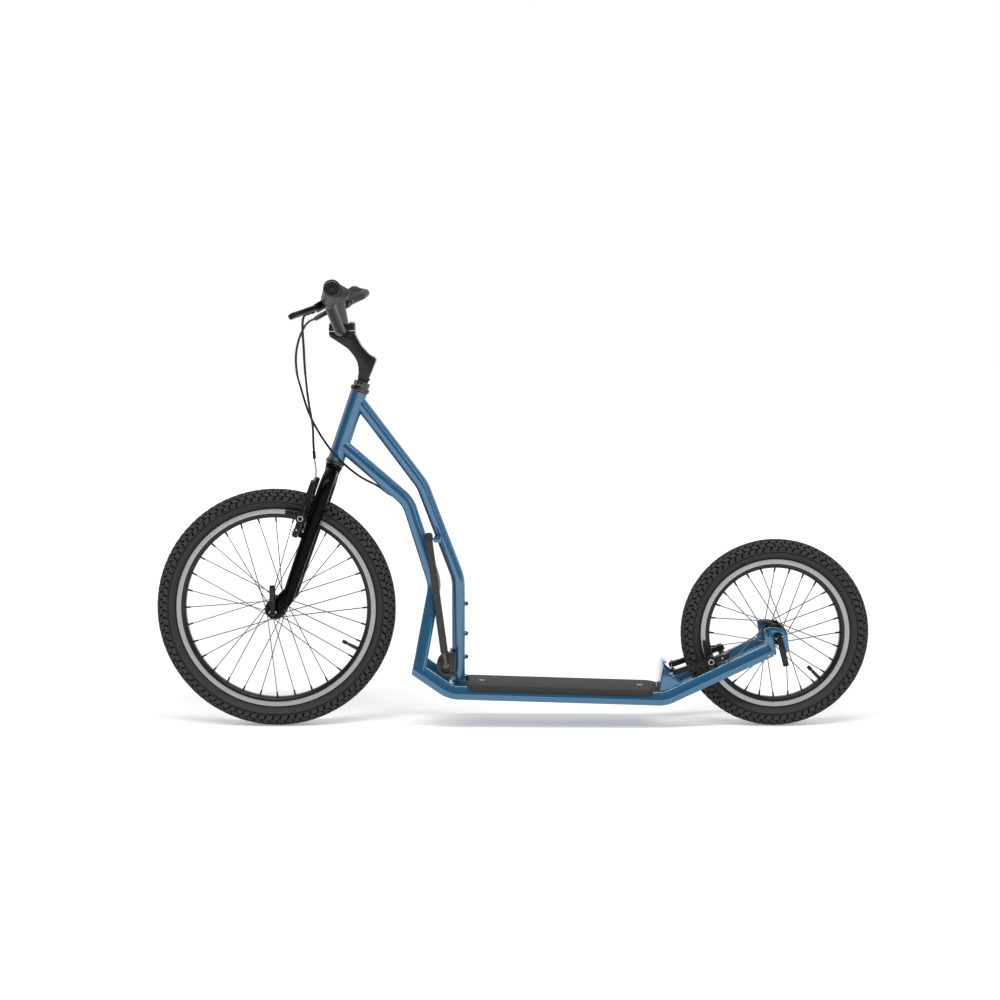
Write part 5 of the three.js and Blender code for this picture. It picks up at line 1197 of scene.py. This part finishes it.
# Floor, world and lamps, in metres. The floor glows more the further it is from the bike,
# and what the bike mirrors is darker on the camera's side than beyond the bike
FLOOR_HALF = 30
FLOOR_TONES = (0.9, 0.94)
GLOW_FROM, GLOW = (1.4, 4.5), (0.27, 0.9)
ROOM_FROM, ROOM = (-0.45, 0.2), (0.1, 1.0)
SOFT_LIGHT = 0.55
LAMPS = (("key", (-1.6, -2.6, 3.2), (1.8, 1.2), 26), ("fill", (2.2, -2.4, 1.8), (1.2, 1.6), 10),
         ("top", (0.1, -1.5, 2.8), (2.6, 0.3), 52))
LAMP_TARGET = Vector((0, 0, 0.4))


def empty_tree(holder):
    holder.use_nodes = True
    holder.node_tree.nodes.clear()
    return holder.node_tree


def make_floor():
    data = bpy.data.meshes.new("floor")
    corners = [(x * FLOOR_HALF, y * FLOOR_HALF, 0) for x, y in ((-1, -1), (1, -1), (1, 1), (-1, 1))]
    data.from_pydata(corners, [], [(0, 1, 2, 3)])
    floor = bpy.data.objects.new("floor", data)
    scene.collection.objects.link(floor)
    mat = bpy.data.materials.new("pale_floor")
    tree = empty_tree(mat)
    place = add_node(tree, "TexCoord").outputs["Object"]
    grain = add_node(tree, "TexNoise", {"Vector": place, "Scale": 3}).outputs["Fac"]
    low, high = ([value] * 3 for value in FLOOR_TONES)
    diffuse = add_node(tree, "BsdfDiffuse", {"Color": ramp(tree, grain, low, high)})
    rays = add_node(tree, "LightPath").outputs
    seen = largest(tree, rays["Is Camera Ray"], rays["Is Glossy Ray"], rays["Is Transmission Ray"])
    away = add_node(tree, "VectorMath", {0: place}, operation="LENGTH").outputs["Value"]
    glow = map_range(tree, away, GLOW_FROM, GLOW)
    strength = add_node(tree, "Math", {0: seen, 1: glow}, operation="MULTIPLY").outputs[0]
    light = add_node(tree, "Emission", {"Strength": strength})
    both = add_node(tree, "AddShader", {0: diffuse.outputs[0], 1: light.outputs[0]})
    add_node(tree, "OutputMaterial", {"Surface": both.outputs[0]})
    data.materials.append(mat)


def background(tree, strength):
    return add_node(tree, "Background", {"Color": (1, 1, 1, 1), "Strength": strength}).outputs[0]


def make_world():
    world = bpy.data.worlds.new("studio")
    scene.world = world
    tree = empty_tree(world)
    rays = add_node(tree, "LightPath").outputs
    around = add_node(tree, "TexCoord").outputs["Generated"]
    depth = add_node(tree, "SeparateXYZ", {0: around}).outputs["Y"]
    room = background(tree, map_range(tree, depth, ROOM_FROM, ROOM))
    soft = background(tree, SOFT_LIGHT)
    unseen = add_node(tree, "MixShader", {"Fac": rays["Is Glossy Ray"], 1: soft, 2: room})
    seen = largest(tree, rays["Is Camera Ray"], rays["Is Transmission Ray"])
    mix = add_node(tree, "MixShader", {"Fac": seen, 1: unseen.outputs[0], 2: background(tree, 1.0)})
    add_node(tree, "OutputWorld", {"Surface": mix.outputs[0]})


def make_lamps():
    for name, place, size, power in LAMPS:
        lamp = bpy.data.lights.new(name, "AREA")
        lamp.shape = "RECTANGLE"
        lamp.size, lamp.size_y = size
        lamp.energy = power
        thing = bpy.data.objects.new(name, lamp)
        scene.collection.objects.link(thing)
        thing.location = place
        thing.rotation_euler = (LAMP_TARGET - Vector(place)).to_track_quat("-Z", "Y").to_euler()


make_floor()
make_world()
make_lamps()
